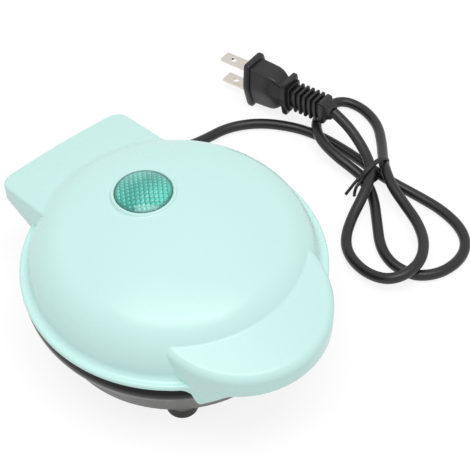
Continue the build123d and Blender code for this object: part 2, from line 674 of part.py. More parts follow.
def make_heater(name, centre_z, gap_angle):
    """Sheathed heater bent to an open ring, with a pin at each end."""
    with BuildPart() as heater:
        with BuildSketch(radial_plane(gap_angle + HEATER_GAP_ANGLE / 2)):
            with Locations((HEATER_RADIUS, centre_z)):
                Circle(HEATER_TUBE)
        revolve(axis=Axis.Z, revolution_arc=360 - HEATER_GAP_ANGLE)
        for turn in (-1, 1):
            angle = gap_angle + turn * HEATER_GAP_ANGLE / 2
            end = on_circle(HEATER_RADIUS, angle, centre_z)
            with BuildSketch(Plane(end, z_dir=on_circle(1, angle - turn * 90, 0))):
                Circle(HEATER_PIN_RADIUS)
            extrude(amount=HEATER_PIN_LENGTH)
    heater.part.label = name
    export_step(heater.part, "parts/" + name + ".step")


heater_drop = HEATER_TUBE - HEATER_SINK
make_heater("lower_heater", lower_bottom - heater_drop, LOWER_GAP_ANGLE)
make_heater("upper_heater", upper_top + heater_drop, UPPER_GAP_ANGLE)

# Lower reflector, a shallow tray between the base's posts and the plate's posts
with BuildPart() as lower_reflector:
    with BuildSketch(Plane.XY.offset(lower_reflector_bottom)):
        Circle(REFLECTOR_RADIUS)
    extrude(amount=REFLECTOR_THICKNESS)
    with BuildSketch(Plane.XY.offset(lower_reflector_top)):
        Circle(REFLECTOR_RADIUS)
        Circle(REFLECTOR_RADIUS - REFLECTOR_THICKNESS, mode=Mode.SUBTRACT)
    extrude(amount=REFLECTOR_LIP)
    with BuildSketch(Plane.XY.offset(lower_reflector_bottom)):
        Circle(REFLECTOR_HOLE)
        with PolarLocations(POST_SPREAD, 4):
            Circle(SCREW_RADIUS + FIT)
        with Locations(on_circle(WIRE_HOLE_SPREAD, LOWER_GAP_ANGLE, 0)[:2]):
            Circle(WIRE_HOLE)
    extrude(amount=REFLECTOR_THICKNESS, mode=Mode.SUBTRACT)
lower_reflector.part.label = "lower_reflector"
export_step(lower_reflector.part, "parts/lower_reflector.step")

# Upper reflector, turned over, with a notch for the wires at the hinge side
with BuildPart() as upper_reflector:
    with BuildSketch(Plane.XY.offset(upper_reflector_bottom)):
        Circle(REFLECTOR_RADIUS)
    extrude(amount=REFLECTOR_THICKNESS)
    with BuildSketch(Plane.XY.offset(upper_reflector_bottom)):
        Circle(REFLECTOR_RADIUS)
        Circle(REFLECTOR_RADIUS - REFLECTOR_THICKNESS, mode=Mode.SUBTRACT)
    extrude(amount=-REFLECTOR_LIP)
    with BuildSketch(Plane.XY.offset(upper_reflector_bottom - REFLECTOR_LIP)):
        Circle(REFLECTOR_HOLE)
        with PolarLocations(POST_SPREAD, 4):
            Circle(SCREW_RADIUS + FIT)
        with Locations((HARNESS_SIDE, REFLECTOR_RADIUS)):
            Rectangle(WIRE_HOLE, 2 * HARNESS_RISE)
    extrude(amount=REFLECTOR_LIP + REFLECTOR_THICKNESS, mode=Mode.SUBTRACT)
upper_reflector.part.label = "upper_reflector"
export_step(upper_reflector.part, "parts/upper_reflector.step")

# Screws that hold the plates
set_of_screws("lower_plate_screws", post_places(), BOWL_BOTTOM + SCREW_SINK, True,
              SCREW_RADIUS, SCREW_HEAD_RADIUS, SCREW_HEAD_HEIGHT,
              lower_reflector_top + SCREW_BITE - BOWL_BOTTOM - SCREW_SINK)
set_of_screws("upper_plate_screws", post_places(), upper_reflector_top, False,
              SCREW_RADIUS, SCREW_HEAD_RADIUS, SCREW_HEAD_HEIGHT,
              REFLECTOR_THICKNESS + SCREW_BITE)


def make_thermostat(name, plate_z, up):
    """Round snap thermostat against a plate, with its two tags on the far side."""
    sign = 1 if up else -1
    with BuildPart() as thermostat:
        with BuildSketch(Plane.XY.offset(plate_z)):
            Circle(THERMOSTAT_RADIUS)
        extrude(amount=sign * THERMOSTAT_HEIGHT)
        far_edges = edges().group_by(Axis.Z)[-1 if up else 0]
        fillet(far_edges, THERMOSTAT_RADIUS / 8)
        with BuildSketch(Plane.XY.offset(plate_z + sign * THERMOSTAT_HEIGHT)):
            with GridLocations(THERMOSTAT_RADIUS, 1, 2, 1):
                Rectangle(TAG_THICKNESS, TAG_WIDTH)
        extrude(amount=sign * TAG_LENGTH)
    thermostat.part.label = name
    export_step(thermostat.part, "parts/" + name + ".step")


make_thermostat("lower_thermostat", lower_bottom, False)
make_thermostat("upper_thermostat", upper_top, True)

# Thermal fuse under the lower plate
with BuildPart() as thermal_fuse:
    with BuildSketch(Plane.YZ):
        with Locations((-FUSE_FRONT, lower_bottom - FUSE_RADIUS)):
            Circle(FUSE_RADIUS)
    extrude(amount=FUSE_LENGTH / 2, both=True)
    chamfer(edges().filter_by(GeomType.CIRCLE), FUSE_RADIUS / 4)
thermal_fuse.part.label = "thermal_fuse"
export_step(thermal_fuse.part, "parts/thermal_fuse.step")

# Lamp and the cradle that holds it under the lens
lamp_z = upper_reflector_top + LAMP_HOLDER_WALL + LAMP_CLEARANCE + LAMP_RADIUS
with BuildPart() as indicator_lamp:
    with BuildSketch(Plane.YZ):
        with Locations((LENS_BACK, lamp_z)):
            Circle(LAMP_RADIUS)
    extrude(amount=LAMP_LENGTH / 2, both=True)
    fillet(edges().filter_by(GeomType.CIRCLE), LAMP_RADIUS / 2)
indicator_lamp.part.label = "indicator_lamp"
export_step(indicator_lamp.part, "parts/indicator_lamp.step")

with BuildPart() as lamp_holder:
    with BuildSketch(Plane.XY.offset(upper_reflector_top)):
        with Locations((0, LENS_BACK)):
            Rectangle(LAMP_LENGTH, 3 * LAMP_RADIUS)
    extrude(amount=LAMP_HOLDER_WALL)
    with BuildSketch(Plane.XY.offset(upper_reflector_top)):
        with Locations((0, LENS_BACK)):
            with GridLocations(LAMP_LENGTH - 2 * LAMP_HOLDER_WALL, 1, 2, 1):
                Rectangle(LAMP_HOLDER_WALL, 3 * LAMP_RADIUS)
    extrude(amount=lamp_z - upper_reflector_top)
    with BuildSketch(Plane.YZ):
        with Locations((LENS_BACK, lamp_z)):
            Circle(LAMP_RADIUS + TOUCH)
    extrude(amount=LAMP_LENGTH, both=True, mode=Mode.SUBTRACT)
lamp_holder.part.label = "lamp_holder"
export_step(lamp_holder.part, "parts/lamp_holder.step")


def make_wires(name, routes, bend):
    """Round wires, each along its own points with rounded bends."""
    with BuildPart() as wires:
        for route in routes:
            with BuildLine() as path:
                FilletPolyline(*route, radius=bend)
            with BuildSketch(path.line ^ 0):
                Circle(WIRE_RADIUS)
            sweep(path=path.line)
    wires.part.label = name
    export_step(wires.part, "parts/" + name + ".step")


# Two wires from the hinge side of the lid to the lamp
over_reflector = upper_reflector_top + 1.2 * WIRE_RADIUS
lid_routes = []
for side in (-1, 1):
    x = HARNESS_SIDE + side * 1.2 * WIRE_RADIUS
    lid_routes.append([(x, cover_inner - FIT, HARNESS_HEIGHT),
                       (x, REFLECTOR_RADIUS + 1.5, HARNESS_HEIGHT),
                       (x, REFLECTOR_RADIUS - HARNESS_RISE + 1, over_reflector),
                       (x, LENS_BACK + 3 * LAMP_RADIUS, over_reflector),
                       (side * LAMP_RADIUS, LENS_BACK + 2 * LAMP_RADIUS, over_reflector)])
make_wires("lid_harness", lid_routes, 1.5 * WIRE_RADIUS)

# The base's hollow, from the floor up to the seat of the plate ring and the rim
bowl_slope = (BOWL_TOP_RADIUS - BOWL_BOTTOM_RADIUS) / (BAND_LOW - BOWL_BOTTOM)
wall_across = BOWL_WALL * sqrt(1 + bowl_slope**2)
floor_radius = BOWL_BOTTOM_RADIUS + bowl_slope * BOWL_WALL - wall_across
seat_radius = BOWL_TOP_RADIUS + bowl_slope * (RING_SEAT - BAND_LOW) - wall_across
with BuildPart() as base_hollow:
    with BuildSketch(Plane.XZ):
        with BuildLine():
            Polyline((0, floor_z), (floor_radius, floor_z), (seat_radius, RING_SEAT),
                     (RIM_INNER_RADIUS, RING_SEAT), (RIM_INNER_RADIUS, 2 * BASE_RIM_HEIGHT),
                     (0, 2 * BASE_RIM_HEIGHT), close=True)
        make_face()
        fillet(vertices().sort_by_distance((floor_radius, floor_z))[0],
               BOWL_ROUNDING - BOWL_WALL)
    revolve(axis=Axis.Z)

# Room in the base's band for the lid's two ears, drawn from their own outline
with BuildPart() as ear_relief:
    with BuildSketch(Plane.YZ):
        Polygon((-REACH, EAR_LOW - EAR_GAP), (-EAR_FRONT + EAR_GAP, EAR_LOW - EAR_GAP),
                (-EAR_BACK + EAR_GAP, RIM_HEIGHT), (-REACH, RIM_HEIGHT), align=None)
    extrude(amount=LID_RADIUS, both=True)
    with BuildSketch(Plane.XY.offset(EAR_LOW - EAR_GAP)):
        Circle(LID_RADIUS)
        Circle(ear_inner - EAR_GAP, mode=Mode.SUBTRACT)
        with Locations((0, -handle_centre)):
            Circle(HANDLE_RADIUS - COVER_WALL - EAR_GAP, mode=Mode.SUBTRACT)
    extrude(amount=RIM_HEIGHT, mode=Mode.INTERSECT)

# Base shell: bowl, glossy band, hinge lugs, floor with its posts and openings
arc_radius = ((BASE_RADIUS - BAND_LOW_RADIUS) ** 2 + (BAND_WIDEST - BAND_LOW) ** 2) / (
    2 * (BASE_RADIUS - BAND_LOW_RADIUS))
half_turn = atan2(BAND_WIDEST - BAND_LOW, arc_radius - BASE_RADIUS + BAND_LOW_RADIUS) / 2
band_middle = (BASE_RADIUS - arc_radius + arc_radius * cos(half_turn),
               BAND_WIDEST - arc_radius * sin(half_turn))
exit_direction = on_circle(1, CORD_EXIT_ANGLE, 0)
foot_places = {"front_left": (-FOOT_X, -FOOT_Y), "front_right": (FOOT_X, -FOOT_Y),
               "rear_left": (-FOOT_X, FOOT_Y), "rear_right": (FOOT_X, FOOT_Y)}
hatch_places = [on_circle(HATCH_SCREW_SPREAD, 90 + 120 * i, 0) for i in range(3)]
base_post_radius = SCREW_HEAD_RADIUS + 1.7
lug_middle = BASE_LUG_INNER + LUG_WIDTH / 2
clamp_plane = Plane(on_circle(CLAMP_SPREAD, CORD_EXIT_ANGLE, 0), x_dir=exit_direction,
                    z_dir=(0, 0, 1))
cord_line = Plane(on_circle(BOOT_INSIDE, CORD_EXIT_ANGLE, CORD_EXIT_HEIGHT),
                  z_dir=exit_direction)
seat_top = CORD_EXIT_HEIGHT - CLAMP_GAP / 2
with BuildPart() as base_shell:
    with BuildSketch(Plane.XZ):
        with BuildLine():
            Polyline((BASE_RADIUS, BAND_WIDEST), (BASE_RIM_RADIUS, BASE_RIM_HEIGHT),
                     (0, BASE_RIM_HEIGHT), (0, BOWL_BOTTOM), (BOWL_BOTTOM_RADIUS, BOWL_BOTTOM),
                     (BOWL_TOP_RADIUS, BAND_LOW), (BAND_LOW_RADIUS, BAND_LOW))
            ThreePointArc((BAND_LOW_RADIUS, BAND_LOW), band_middle, (BASE_RADIUS, BAND_WIDEST))
        make_face()
        fillet(vertices().sort_by_distance((BOWL_BOTTOM_RADIUS, BOWL_BOTTOM))[0], BOWL_ROUNDING)
        fillet(vertices().sort_by_distance((BASE_RIM_RADIUS, BASE_RIM_HEIGHT))[0], PLATE_EDGE)
    revolve(axis=Axis.Z)
    with BuildSketch(Plane.XY.offset(BOWL_BOTTOM)):
        with Locations(*foot_places.values()):
            Circle(FOOT_RADIUS)
    extrude(amount=BOWL_WALL)
    for side in (-1, 1):
        with BuildSketch(Plane.YZ.offset(side * lug_middle)):
            Polygon((RIM_INNER_RADIUS - LUG_WIDTH, BASE_RIM_HEIGHT),
                    (RIM_INNER_RADIUS - LUG_WIDTH, LUG_ARM_LOW - LUG_WIDTH / 2),
                    (HINGE_BACK, HINGE_HEIGHT - BARREL_RADIUS),
                    (HINGE_BACK, BASE_RIM_HEIGHT), align=None)
            with Locations((HINGE_BACK, HINGE_HEIGHT)):
                Circle(BARREL_RADIUS)
        extrude(amount=LUG_WIDTH / 2, both=True)
        with BuildSketch(Plane.YZ.offset(side * lug_middle)):
            with Locations((HINGE_BACK, HINGE_HEIGHT)):
                Circle(PIN_RADIUS)
        extrude(amount=LUG_WIDTH, both=True, mode=Mode.SUBTRACT)
    add(base_hollow.part, mode=Mode.SUBTRACT)
    add(ear_relief.part, mode=Mode.SUBTRACT)
    with BuildSketch(Plane.XY.offset(BOWL_BOTTOM)):
        with PolarLocations(POST_SPREAD, 4):
            Circle(base_post_radius)
    extrude(amount=lower_reflector_bottom - BOWL_BOTTOM)
    with BuildSketch(Plane.XY.offset(hatch_top)):
        Circle(HATCH_RADIUS + HATCH_LEDGE)
    extrude(amount=HATCH_LEDGE_THICKNESS)
    with BuildSketch(Plane.XY.offset(BOWL_BOTTOM)):
        Circle(HATCH_RADIUS + FIT)
    extrude(amount=HATCH_THICKNESS, mode=Mode.SUBTRACT)
    with BuildSketch(Plane.XY.offset(BOWL_BOTTOM)):
        Circle(HATCH_RADIUS - HATCH_LEDGE)
    extrude(amount=HATCH_THICKNESS + HATCH_LEDGE_THICKNESS, mode=Mode.SUBTRACT)
    with BuildSketch(Plane.XY.offset(hatch_top)):
        with PolarLocations(HATCH_SCREW_SPREAD, 3, start_angle=90):
            Circle(HATCH_BOSS_RADIUS)
    extrude(amount=HATCH_BOSS_HEIGHT)
    with BuildSketch(Plane.XY.offset(hatch_top)):
        with PolarLocations(HATCH_SCREW_SPREAD, 3, start_angle=90):
            Circle(SMALL_SCREW_RADIUS + THREAD)
    extrude(amount=SMALL_SCREW_BITE + FIT, mode=Mode.SUBTRACT)
    with BuildSketch(Plane.XY.offset(BOWL_BOTTOM)):
        with PolarLocations(POST_SPREAD, 4):
            Circle(SCREW_HEAD_RADIUS + FIT)
    extrude(amount=SCREW_SINK, mode=Mode.SUBTRACT)
    with BuildSketch(Plane.XY.offset(BOWL_BOTTOM)):
        with PolarLocations(POST_SPREAD, 4):
            Circle(SCREW_RADIUS + FIT)
        with Locations(*foot_places.values()):
            Circle(FOOT_STEM_RADIUS)
    extrude(amount=lower_reflector_bottom, mode=Mode.SUBTRACT)
    with BuildSketch(clamp_plane.offset(floor_z)):
        Rectangle(CLAMP_WIDTH, CLAMP_LENGTH)
    extrude(amount=seat_top - floor_z)
    with BuildSketch(clamp_plane.offset(seat_top)):
        with GridLocations(1, CLAMP_SCREW_SPACING, 1, 2):
            Circle(SMALL_SCREW_RADIUS + THREAD)
    extrude(amount=-SMALL_SCREW_BITE - FIT, mode=Mode.SUBTRACT)
    with BuildSketch(cord_line.offset(-BOOT_INSIDE / 2)):
        Circle(CORD_RADIUS)
    extrude(amount=BOOT_INSIDE / 2, mode=Mode.SUBTRACT)
    with BuildSketch(cord_line):
        Circle(BOOT_NECK_RADIUS)
    extrude(amount=LID_RADIUS - BOOT_INSIDE, mode=Mode.SUBTRACT)
base_shell.part.label = "base_shell"
export_step(base_shell.part, "parts/base_shell.step")

# Bottom cover and its screws
with BuildPart() as bottom_cover:
    with BuildSketch(Plane.XY.offset(BOWL_BOTTOM)):
        Circle(HATCH_RADIUS)
    extrude(amount=HATCH_THICKNESS)
    with BuildSketch(Plane.XY.offset(BOWL_BOTTOM)):
        for ring in range(3):
            with PolarLocations(VENT_SPREAD + ring * VENT_PITCH, VENT_COUNT + 6 * ring):
                SlotOverall(VENT_LENGTH, VENT_WIDTH, rotation=90)
        with PolarLocations(HATCH_SCREW_SPREAD, 3, start_angle=90):
            Circle(SMALL_SCREW_RADIUS + FIT)
    extrude(amount=HATCH_THICKNESS, mode=Mode.SUBTRACT)
bottom_cover.part.label = "bottom_cover"
export_step(bottom_cover.part, "parts/bottom_cover.step")
set_of_screws("bottom_screws", hatch_places, BOWL_BOTTOM, True, SMALL_SCREW_RADIUS,
              SMALL_HEAD_RADIUS, SMALL_HEAD_HEIGHT, HATCH_THICKNESS + SMALL_SCREW_BITE)

# Feet, each pushed through the floor by its own stem
for corner, place in foot_places.items():
    with BuildPart() as foot:
        with BuildSketch(Plane.XY):
            with Locations(place):
                Circle(FOOT_RADIUS)
        extrude(amount=BOWL_BOTTOM)
        fillet(edges().group_by(Axis.Z)[0], FOOT_ROUNDING)
        with BuildSketch(Plane.XY.offset(BOWL_BOTTOM)):
            with Locations(place):
                Circle(FOOT_STEM_RADIUS)
        extrude(amount=BOWL_WALL + FIT / 2)
        with BuildSketch(Plane.XY.offset(floor_z + FIT / 2)):
            with Locations(place):
                Circle(FOOT_HEAD_RADIUS)
        extrude(amount=FOOT_HEAD_HEIGHT)
    foot.part.label = "foot_" + corner
    export_step(foot.part, "parts/foot_" + corner + ".step")

# Ring between the base shell and the lower plate
ring_top = BASE_RIM_HEIGHT - FIT
ring_outer = RIM_INNER_RADIUS - FIT
lower_flange = lower_top - PLATE_FLANGE
with BuildPart() as plate_ring:
    with BuildSketch(Plane.XZ):
        with BuildLine():
            Polyline((ring_outer, RING_SEAT), (ring_outer, ring_top), (liner_inner, ring_top),
                     (liner_inner, lower_flange), (ledge_inner, lower_flange),
                     (ledge_inner, lower_flange - RING_WALL),
                     (liner_inner + RING_WALL, lower_flange - RING_WALL),
                     (liner_inner + RING_WALL, ring_top - RING_WALL),
                     (ring_outer - RING_WALL, ring_top - RING_WALL),
                     (ring_outer - RING_WALL, RING_SEAT), close=True)
        make_face()
    revolve(axis=Axis.Z)
plate_ring.part.label = "plate_ring"
export_step(plate_ring.part, "parts/plate_ring.step")

# Terminal block on the bottom cover
with BuildPart() as terminal_block:
    with BuildSketch(Plane.XY.offset(hatch_top)):
        with Locations((BLOCK_X, BLOCK_Y)):
            Rectangle(BLOCK_LENGTH, BLOCK_WIDTH)
    extrude(amount=BLOCK_HEIGHT)
    chamfer(edges().group_by(Axis.Z)[-1], BLOCK_CHAMFER)
    with BuildSketch(Plane.XY.offset(hatch_top + BLOCK_HEIGHT)):
        with Locations((BLOCK_X, BLOCK_Y)):
            with GridLocations(BLOCK_LENGTH / 3, 1, 3, 1):
                Circle(BLOCK_SCREW_HOLE)
    extrude(amount=-BLOCK_HEIGHT / 3, mode=Mode.SUBTRACT)
terminal_block.part.label = "terminal_block"
export_step(terminal_block.part, "parts/terminal_block.step")

# Cord inside the base, its clamp and the clamp's screws
with BuildPart() as inner_cord:
    with BuildSketch(cord_line):
        Circle(CORD_RADIUS)
    extrude(amount=-INNER_CORD_LENGTH)
inner_cord.part.label = "inner_cord"
export_step(inner_cord.part, "parts/inner_cord.step")

bar_bottom = seat_top + CLAMP_GAP
with BuildPart() as cord_clamp:
    with BuildSketch(clamp_plane.offset(bar_bottom)):
        Rectangle(CLAMP_WIDTH, CLAMP_LENGTH)
    extrude(amount=CLAMP_BAR)
    with BuildSketch(cord_line):
        Circle(CORD_RADIUS)
    extrude(amount=-INNER_CORD_LENGTH, mode=Mode.SUBTRACT)
    with BuildSketch(clamp_plane.offset(bar_bottom)):
        with GridLocations(1, CLAMP_SCREW_SPACING, 1, 2):
            Circle(SMALL_SCREW_RADIUS + FIT)
    extrude(amount=CLAMP_BAR, mode=Mode.SUBTRACT)
cord_clamp.part.label = "cord_clamp"
export_step(cord_clamp.part, "parts/cord_clamp.step")
clamp_places = [(clamp_plane * Location((0, side * CLAMP_SCREW_SPACING / 2, 0))).position
                for side in (-1, 1)]
set_of_screws("clamp_screws", [(place.X, place.Y) for place in clamp_places],
              bar_bottom + CLAMP_BAR, False, SMALL_SCREW_RADIUS, SMALL_HEAD_RADIUS,
              SMALL_HEAD_HEIGHT, CLAMP_BAR + CLAMP_GAP + SMALL_SCREW_BITE)

# Wires from the terminal block to the thermostat and to the heater's pins
block_top = hatch_top + BLOCK_HEIGHT
heater_z = lower_bottom - heater_drop
tag_z = lower_bottom - THERMOSTAT_HEIGHT - TAG_LENGTH
pin_turn = HEATER_GAP_ANGLE / 2 - degrees(HEATER_PIN_LENGTH / HEATER_RADIUS)
base_routes = []
for side in (-1, 1):
    hole = on_circle(WIRE_HOLE_SPREAD, LOWER_GAP_ANGLE + side * 4, lower_reflector_top + 1)
    below = on_circle(WIRE_HOLE_SPREAD - 2, LOWER_GAP_ANGLE + side * 4, block_top + 0.6)
    end = on_circle(HEATER_RADIUS, LOWER_GAP_ANGLE + side * (pin_turn - 2), heater_z)
    base_routes.append([(BLOCK_X + BLOCK_LENGTH / 2 + WIRE_RADIUS + FIT, BLOCK_Y + side * 2,
                         block_top - 2),
                        below, hole, end])
    tag_x = side * THERMOSTAT_RADIUS / 2
    base_routes.append([(BLOCK_X - BLOCK_LENGTH / 4 + side * 2,
                         BLOCK_Y - BLOCK_WIDTH / 2 - WIRE_RADIUS - FIT, block_top - 2),
                        (tag_x + 2, BLOCK_Y / 3, block_top - 2),
                        (tag_x, 0.5, tag_z - WIRE_RADIUS)])
make_wires("base_harness", base_routes, WIRE_RADIUS * 1.2)

# Hinge pin and the clips at its ends
with BuildPart() as hinge_pin:
    with BuildSketch(Plane.YZ):
        with Locations((HINGE_BACK, HINGE_HEIGHT)):
            Circle(PIN_RADIUS)
    extrude(amount=pin_half, both=True)
    chamfer(edges().filter_by(GeomType.CIRCLE), CLIP_GROOVE / 2)
    for side in (-1, 1):
        with BuildSketch(Plane.YZ.offset(side * (lid_lug_outer + FIT))):
            with Locations((HINGE_BACK, HINGE_HEIGHT)):
                Circle(PIN_RADIUS + FIT)
                Circle(PIN_RADIUS - CLIP_GROOVE, mode=Mode.SUBTRACT)
        extrude(amount=side * CLIP_THICKNESS, mode=Mode.SUBTRACT)
hinge_pin.part.label = "hinge_pin"
export_step(hinge_pin.part, "parts/hinge_pin.step")

with BuildPart() as pin_clips:
    for side in (-1, 1):
        with BuildSketch(Plane.YZ.offset(side * (lid_lug_outer + FIT))):
            with Locations((HINGE_BACK, HINGE_HEIGHT)):
                Circle(CLIP_RADIUS)
                Circle(PIN_RADIUS - CLIP_GROOVE, mode=Mode.SUBTRACT)
            with Locations((HINGE_BACK, HINGE_HEIGHT - CLIP_RADIUS)):
                Rectangle(PIN_RADIUS * 1.5, CLIP_RADIUS, mode=Mode.SUBTRACT)
        extrude(amount=side * CLIP_THICKNESS)
pin_clips.part.label = "pin_clips"
export_step(pin_clips.part, "parts/pin_clips.step")

# Strain relief, a tapered boot with a flange inside the wall
boot_section = Plane(on_circle(0, 0, CORD_EXIT_HEIGHT), x_dir=exit_direction,
                     z_dir=on_circle(1, CORD_EXIT_ANGLE - 90, 0))
boot_axis = Axis((0, 0, CORD_EXIT_HEIGHT), exit_direction)
with BuildPart() as strain_relief:
    with BuildSketch(boot_section):
        with BuildLine():
            Polyline((BOOT_INSIDE, 0), (BOOT_INSIDE, BOOT_FLANGE_RADIUS),
                     (BOOT_FLANGE_END, BOOT_FLANGE_RADIUS), (BOOT_FLANGE_END, BOOT_NECK_RADIUS),
                     (BOOT_START, BOOT_NECK_RADIUS), (BOOT_START, BOOT_SHOULDER_RADIUS),
                     (BOOT_START + BOOT_SHOULDER, BOOT_SHOULDER_RADIUS),
                     (BOOT_END, BOOT_TIP_RADIUS), (BOOT_END, 0), close=True)
        make_face()
        groove_pitch = (BOOT_END - BOOT_START - BOOT_SHOULDER) / (BOOT_GROOVES + 1)
        for groove in range(BOOT_GROOVES):
            along = BOOT_START + BOOT_SHOULDER + (groove + 0.6) * groove_pitch
            with Locations((along, BOOT_SHOULDER_RADIUS)):
                Rectangle(BOOT_GROOVE_WIDTH, 2 * (BOOT_SHOULDER_RADIUS - BOOT_TIP_RADIUS
                                                  + BOOT_GROOVE_SINK), mode=Mode.SUBTRACT)
    revolve(axis=boot_axis)
strain_relief.part.label = "strain_relief"
export_step(strain_relief.part, "parts/strain_relief.step")

# Mains cord from the strain relief to the tied bundle, lying on the floor behind the lid
cord_route = [
    on_circle(BOOT_END, CORD_EXIT_ANGLE, CORD_EXIT_HEIGHT),
    on_circle(BOOT_END + CORD_STRAIGHT, CORD_EXIT_ANGLE, CORD_EXIT_HEIGHT),
    (53.5, 69.2, 11.5),
    (62.5, 71.2, 6.8),
    (76.0, 71.2, 3.4),
    (91.0, 70.6, 2.6),
    (105.0, 62.5, 2.6),
    (115.5, 49.0, 2.6),
    (120.8, 34.0, 2.6),
    (122.6, 20.0, 2.6),
]


def corner_radii(points):
    """The largest arc at each corner: 0.45 of the shorter run over the tangent of half the turn."""
    radii = []
    for before, here, after in zip(points, points[1:], points[2:]):
        run_in = Vector(*here) - Vector(*before)
        run_out = Vector(*after) - Vector(*here)
        half = radians(run_in.get_angle(run_out)) / 2
        radii.append(0.45 * min(run_in.length, run_out.length) / tan(half))
    return radii


cord_radii = corner_radii(cord_route)
print("cord radii", [round(radius, 1) for radius in cord_radii])
with BuildPart() as power_cord:
    with BuildLine() as cord_path:
        FilletPolyline(*cord_route, radius=cord_radii)
    with BuildSketch(cord_path.line ^ 0):
        Circle(CORD_RADIUS)
    sweep(path=cord_path.line)
cord_length = cord_path.wires()[0].length
print("cord length", round(cord_length, 1), "volume over section times length",
      round(power_cord.part.volume / (pi * CORD_RADIUS**2 * cord_length), 4))
power_cord.part.label = "power_cord"
export_step(power_cord.part, "parts/power_cord.step")

# The bundle: three pear-shaped loops that pass through one waist, then the tail to the plug.
# Each loop gives its direction, length and width, and the share of the loop and the height of
# the points that it is drawn through.
waist_low = 2 * TIE_RADIUS + CORD_RADIUS + 0.2
waist_high = waist_low + 2 * CORD_RADIUS + BUNDLE_GAP
floor_line = CORD_FLOOR
crossing = CORD_FLOOR + 2 * CORD_RADIUS + BUNDLE_GAP
waist = [Vector(122.5, -1.5, waist_low), Vector(115.4, 0.5, waist_low),
         Vector(123.9, -3.0, waist_high), Vector(117.8, -0.5, waist_high)]
loops = [
    (-102.3, 62.1, 34.0, [(0.2, floor_line), (0.4, floor_line), (0.6, floor_line),
                          (0.8, floor_line), (0.92, floor_line + 0.6)]),
    (67.3, 55.9, 27.0, [(0.2, crossing - 0.6), (0.27, crossing - 0.3), (0.34, crossing - 1.3),
                        (0.45, 4.8), (0.57, floor_line + 0.2), (0.75, floor_line)]),
    (-131.5, 61.7, 35.5, [(0.2, crossing - 1.2), (0.42, crossing + 0.2), (0.6, 5.0),
                          (0.76, floor_line + 0.4), (0.9, crossing + 0.9)]),
]


def pear(start, end, angle, length, width, share):
    """Point and direction on a loop: a half sine outwards and a full sine across."""
    out = Vector(cos(radians(angle)), sin(radians(angle)), 0)
    across = Vector(-out.Y, out.X, 0)
    turn = pi * share
    place = start * (1 - share) + end * share + out * (length * sin(turn))
    place += across * (width / 2 * sin(2 * turn))
    way = (end - start) + out * (length * pi * cos(turn)) + across * (width * pi * cos(2 * turn))
    return Vector(place.X, place.Y, 0), Vector(way.X, way.Y, 0).normalized()


knots = [(Vector(*cord_route[-1]), (Vector(*cord_route[-1]) - Vector(*cord_route[-2])).normalized())]
knots.append((knots[0][0] + knots[0][1] * 2 * CORD_RADIUS, knots[0][1]))
for number, (angle, length, width, samples) in enumerate(loops):
    start, end = waist[number], waist[number + 1]
    way_in = pear(start, end, angle, length, width, 0)[1]
    knots.append((start, way_in if number == 0 else (way_in + last_way).normalized()))
    for share, height in samples:
        place, way = pear(start, end, angle, length, width, share)
        knots.append((Vector(place.X, place.Y, height), way))
    last_way = pear(start, end, angle, length, width, 1)[1]
plug_axis = (Vector(*PLUG_TAIL) - Vector(*PLUG_FACE)).normalized()
tail_end = Vector(*PLUG_TAIL)
tail_start = tail_end + plug_axis * 2 * CORD_RADIUS
tail_middle = Vector(*TAIL_MIDDLE)
tail_way = (tail_start - tail_middle).normalized() + (tail_middle - waist[3]).normalized()
knots.append((waist[3], ((tail_middle - waist[3]).normalized() + last_way).normalized()))
knots.append((tail_middle, tail_way.normalized()))
knots.append((tail_start, -plug_axis))
knots.append((tail_end, -plug_axis))
for index in range(3, len(knots) - 3):
    (before, _), (here, way), (after, _) = knots[index - 1], knots[index], knots[index + 1]
    rise_in = (here.Z - before.Z) / (here - before).length
    rise_out = (after.Z - here.Z) / (after - here).length
    slope = (rise_in + rise_out) / 2 if rise_in * rise_out > 0 else 0
    knots[index] = (here, Vector(way.X, way.Y, slope).normalized())


def arc_middle(start, corner, end):
    """Middle of the arc that touches the two legs start-corner and corner-end."""
    half = (corner - start).get_angle(end - corner) / 2
    chord = (start + end) * 0.5
    return chord + (corner - chord) * (cos(radians(half)) / (1 + cos(radians(half))))


def biarc(start, start_way, end, end_way):
    """Two arcs from start to end in the given directions, touching between: six points."""
    span = end - start
    ways = start_way + end_way
    square = 2 * (1 - start_way.dot(end_way))
    linear = 2 * span.dot(ways)
    reach = (-linear + sqrt(linear**2 + 4 * square * span.dot(span))) / (2 * square)
    first = start + start_way * reach
    second = end - end_way * reach
    joint = (first + second) * 0.5
    return (start, arc_middle(start, first, joint), joint), (
        joint, arc_middle(joint, second, end), end)


hank_arcs = []
for (start, start_way), (end, end_way) in zip(knots[1:-2], knots[2:-1]):
    hank_arcs += biarc(start, start_way, end, end_way)
with BuildPart() as cord_hank:
    with BuildLine() as hank_path:
        Line(knots[0][0], knots[1][0])
        for arc_start, middle, arc_end in hank_arcs:
            ThreePointArc(arc_start, middle, arc_end)
        Line(knots[-2][0], knots[-1][0])
    with BuildSketch(Plane(knots[0][0], z_dir=knots[0][1])):
        Circle(CORD_RADIUS)
    hank_wire = hank_path.wires()[0]
    sweep(path=hank_wire)


def least_gap(wire, step, skip):
    """Least gap between a tube's surfaces, on points along its middle line."""
    count = int(wire.length / step)
    line = [wire.position_at(i / count) for i in range(count + 1)]
    least = 1000.0
    for i, here in enumerate(line):
        for there in line[i + int(skip / step):]:
            least = min(least, (there - here).length)
    return least - 2 * CORD_RADIUS


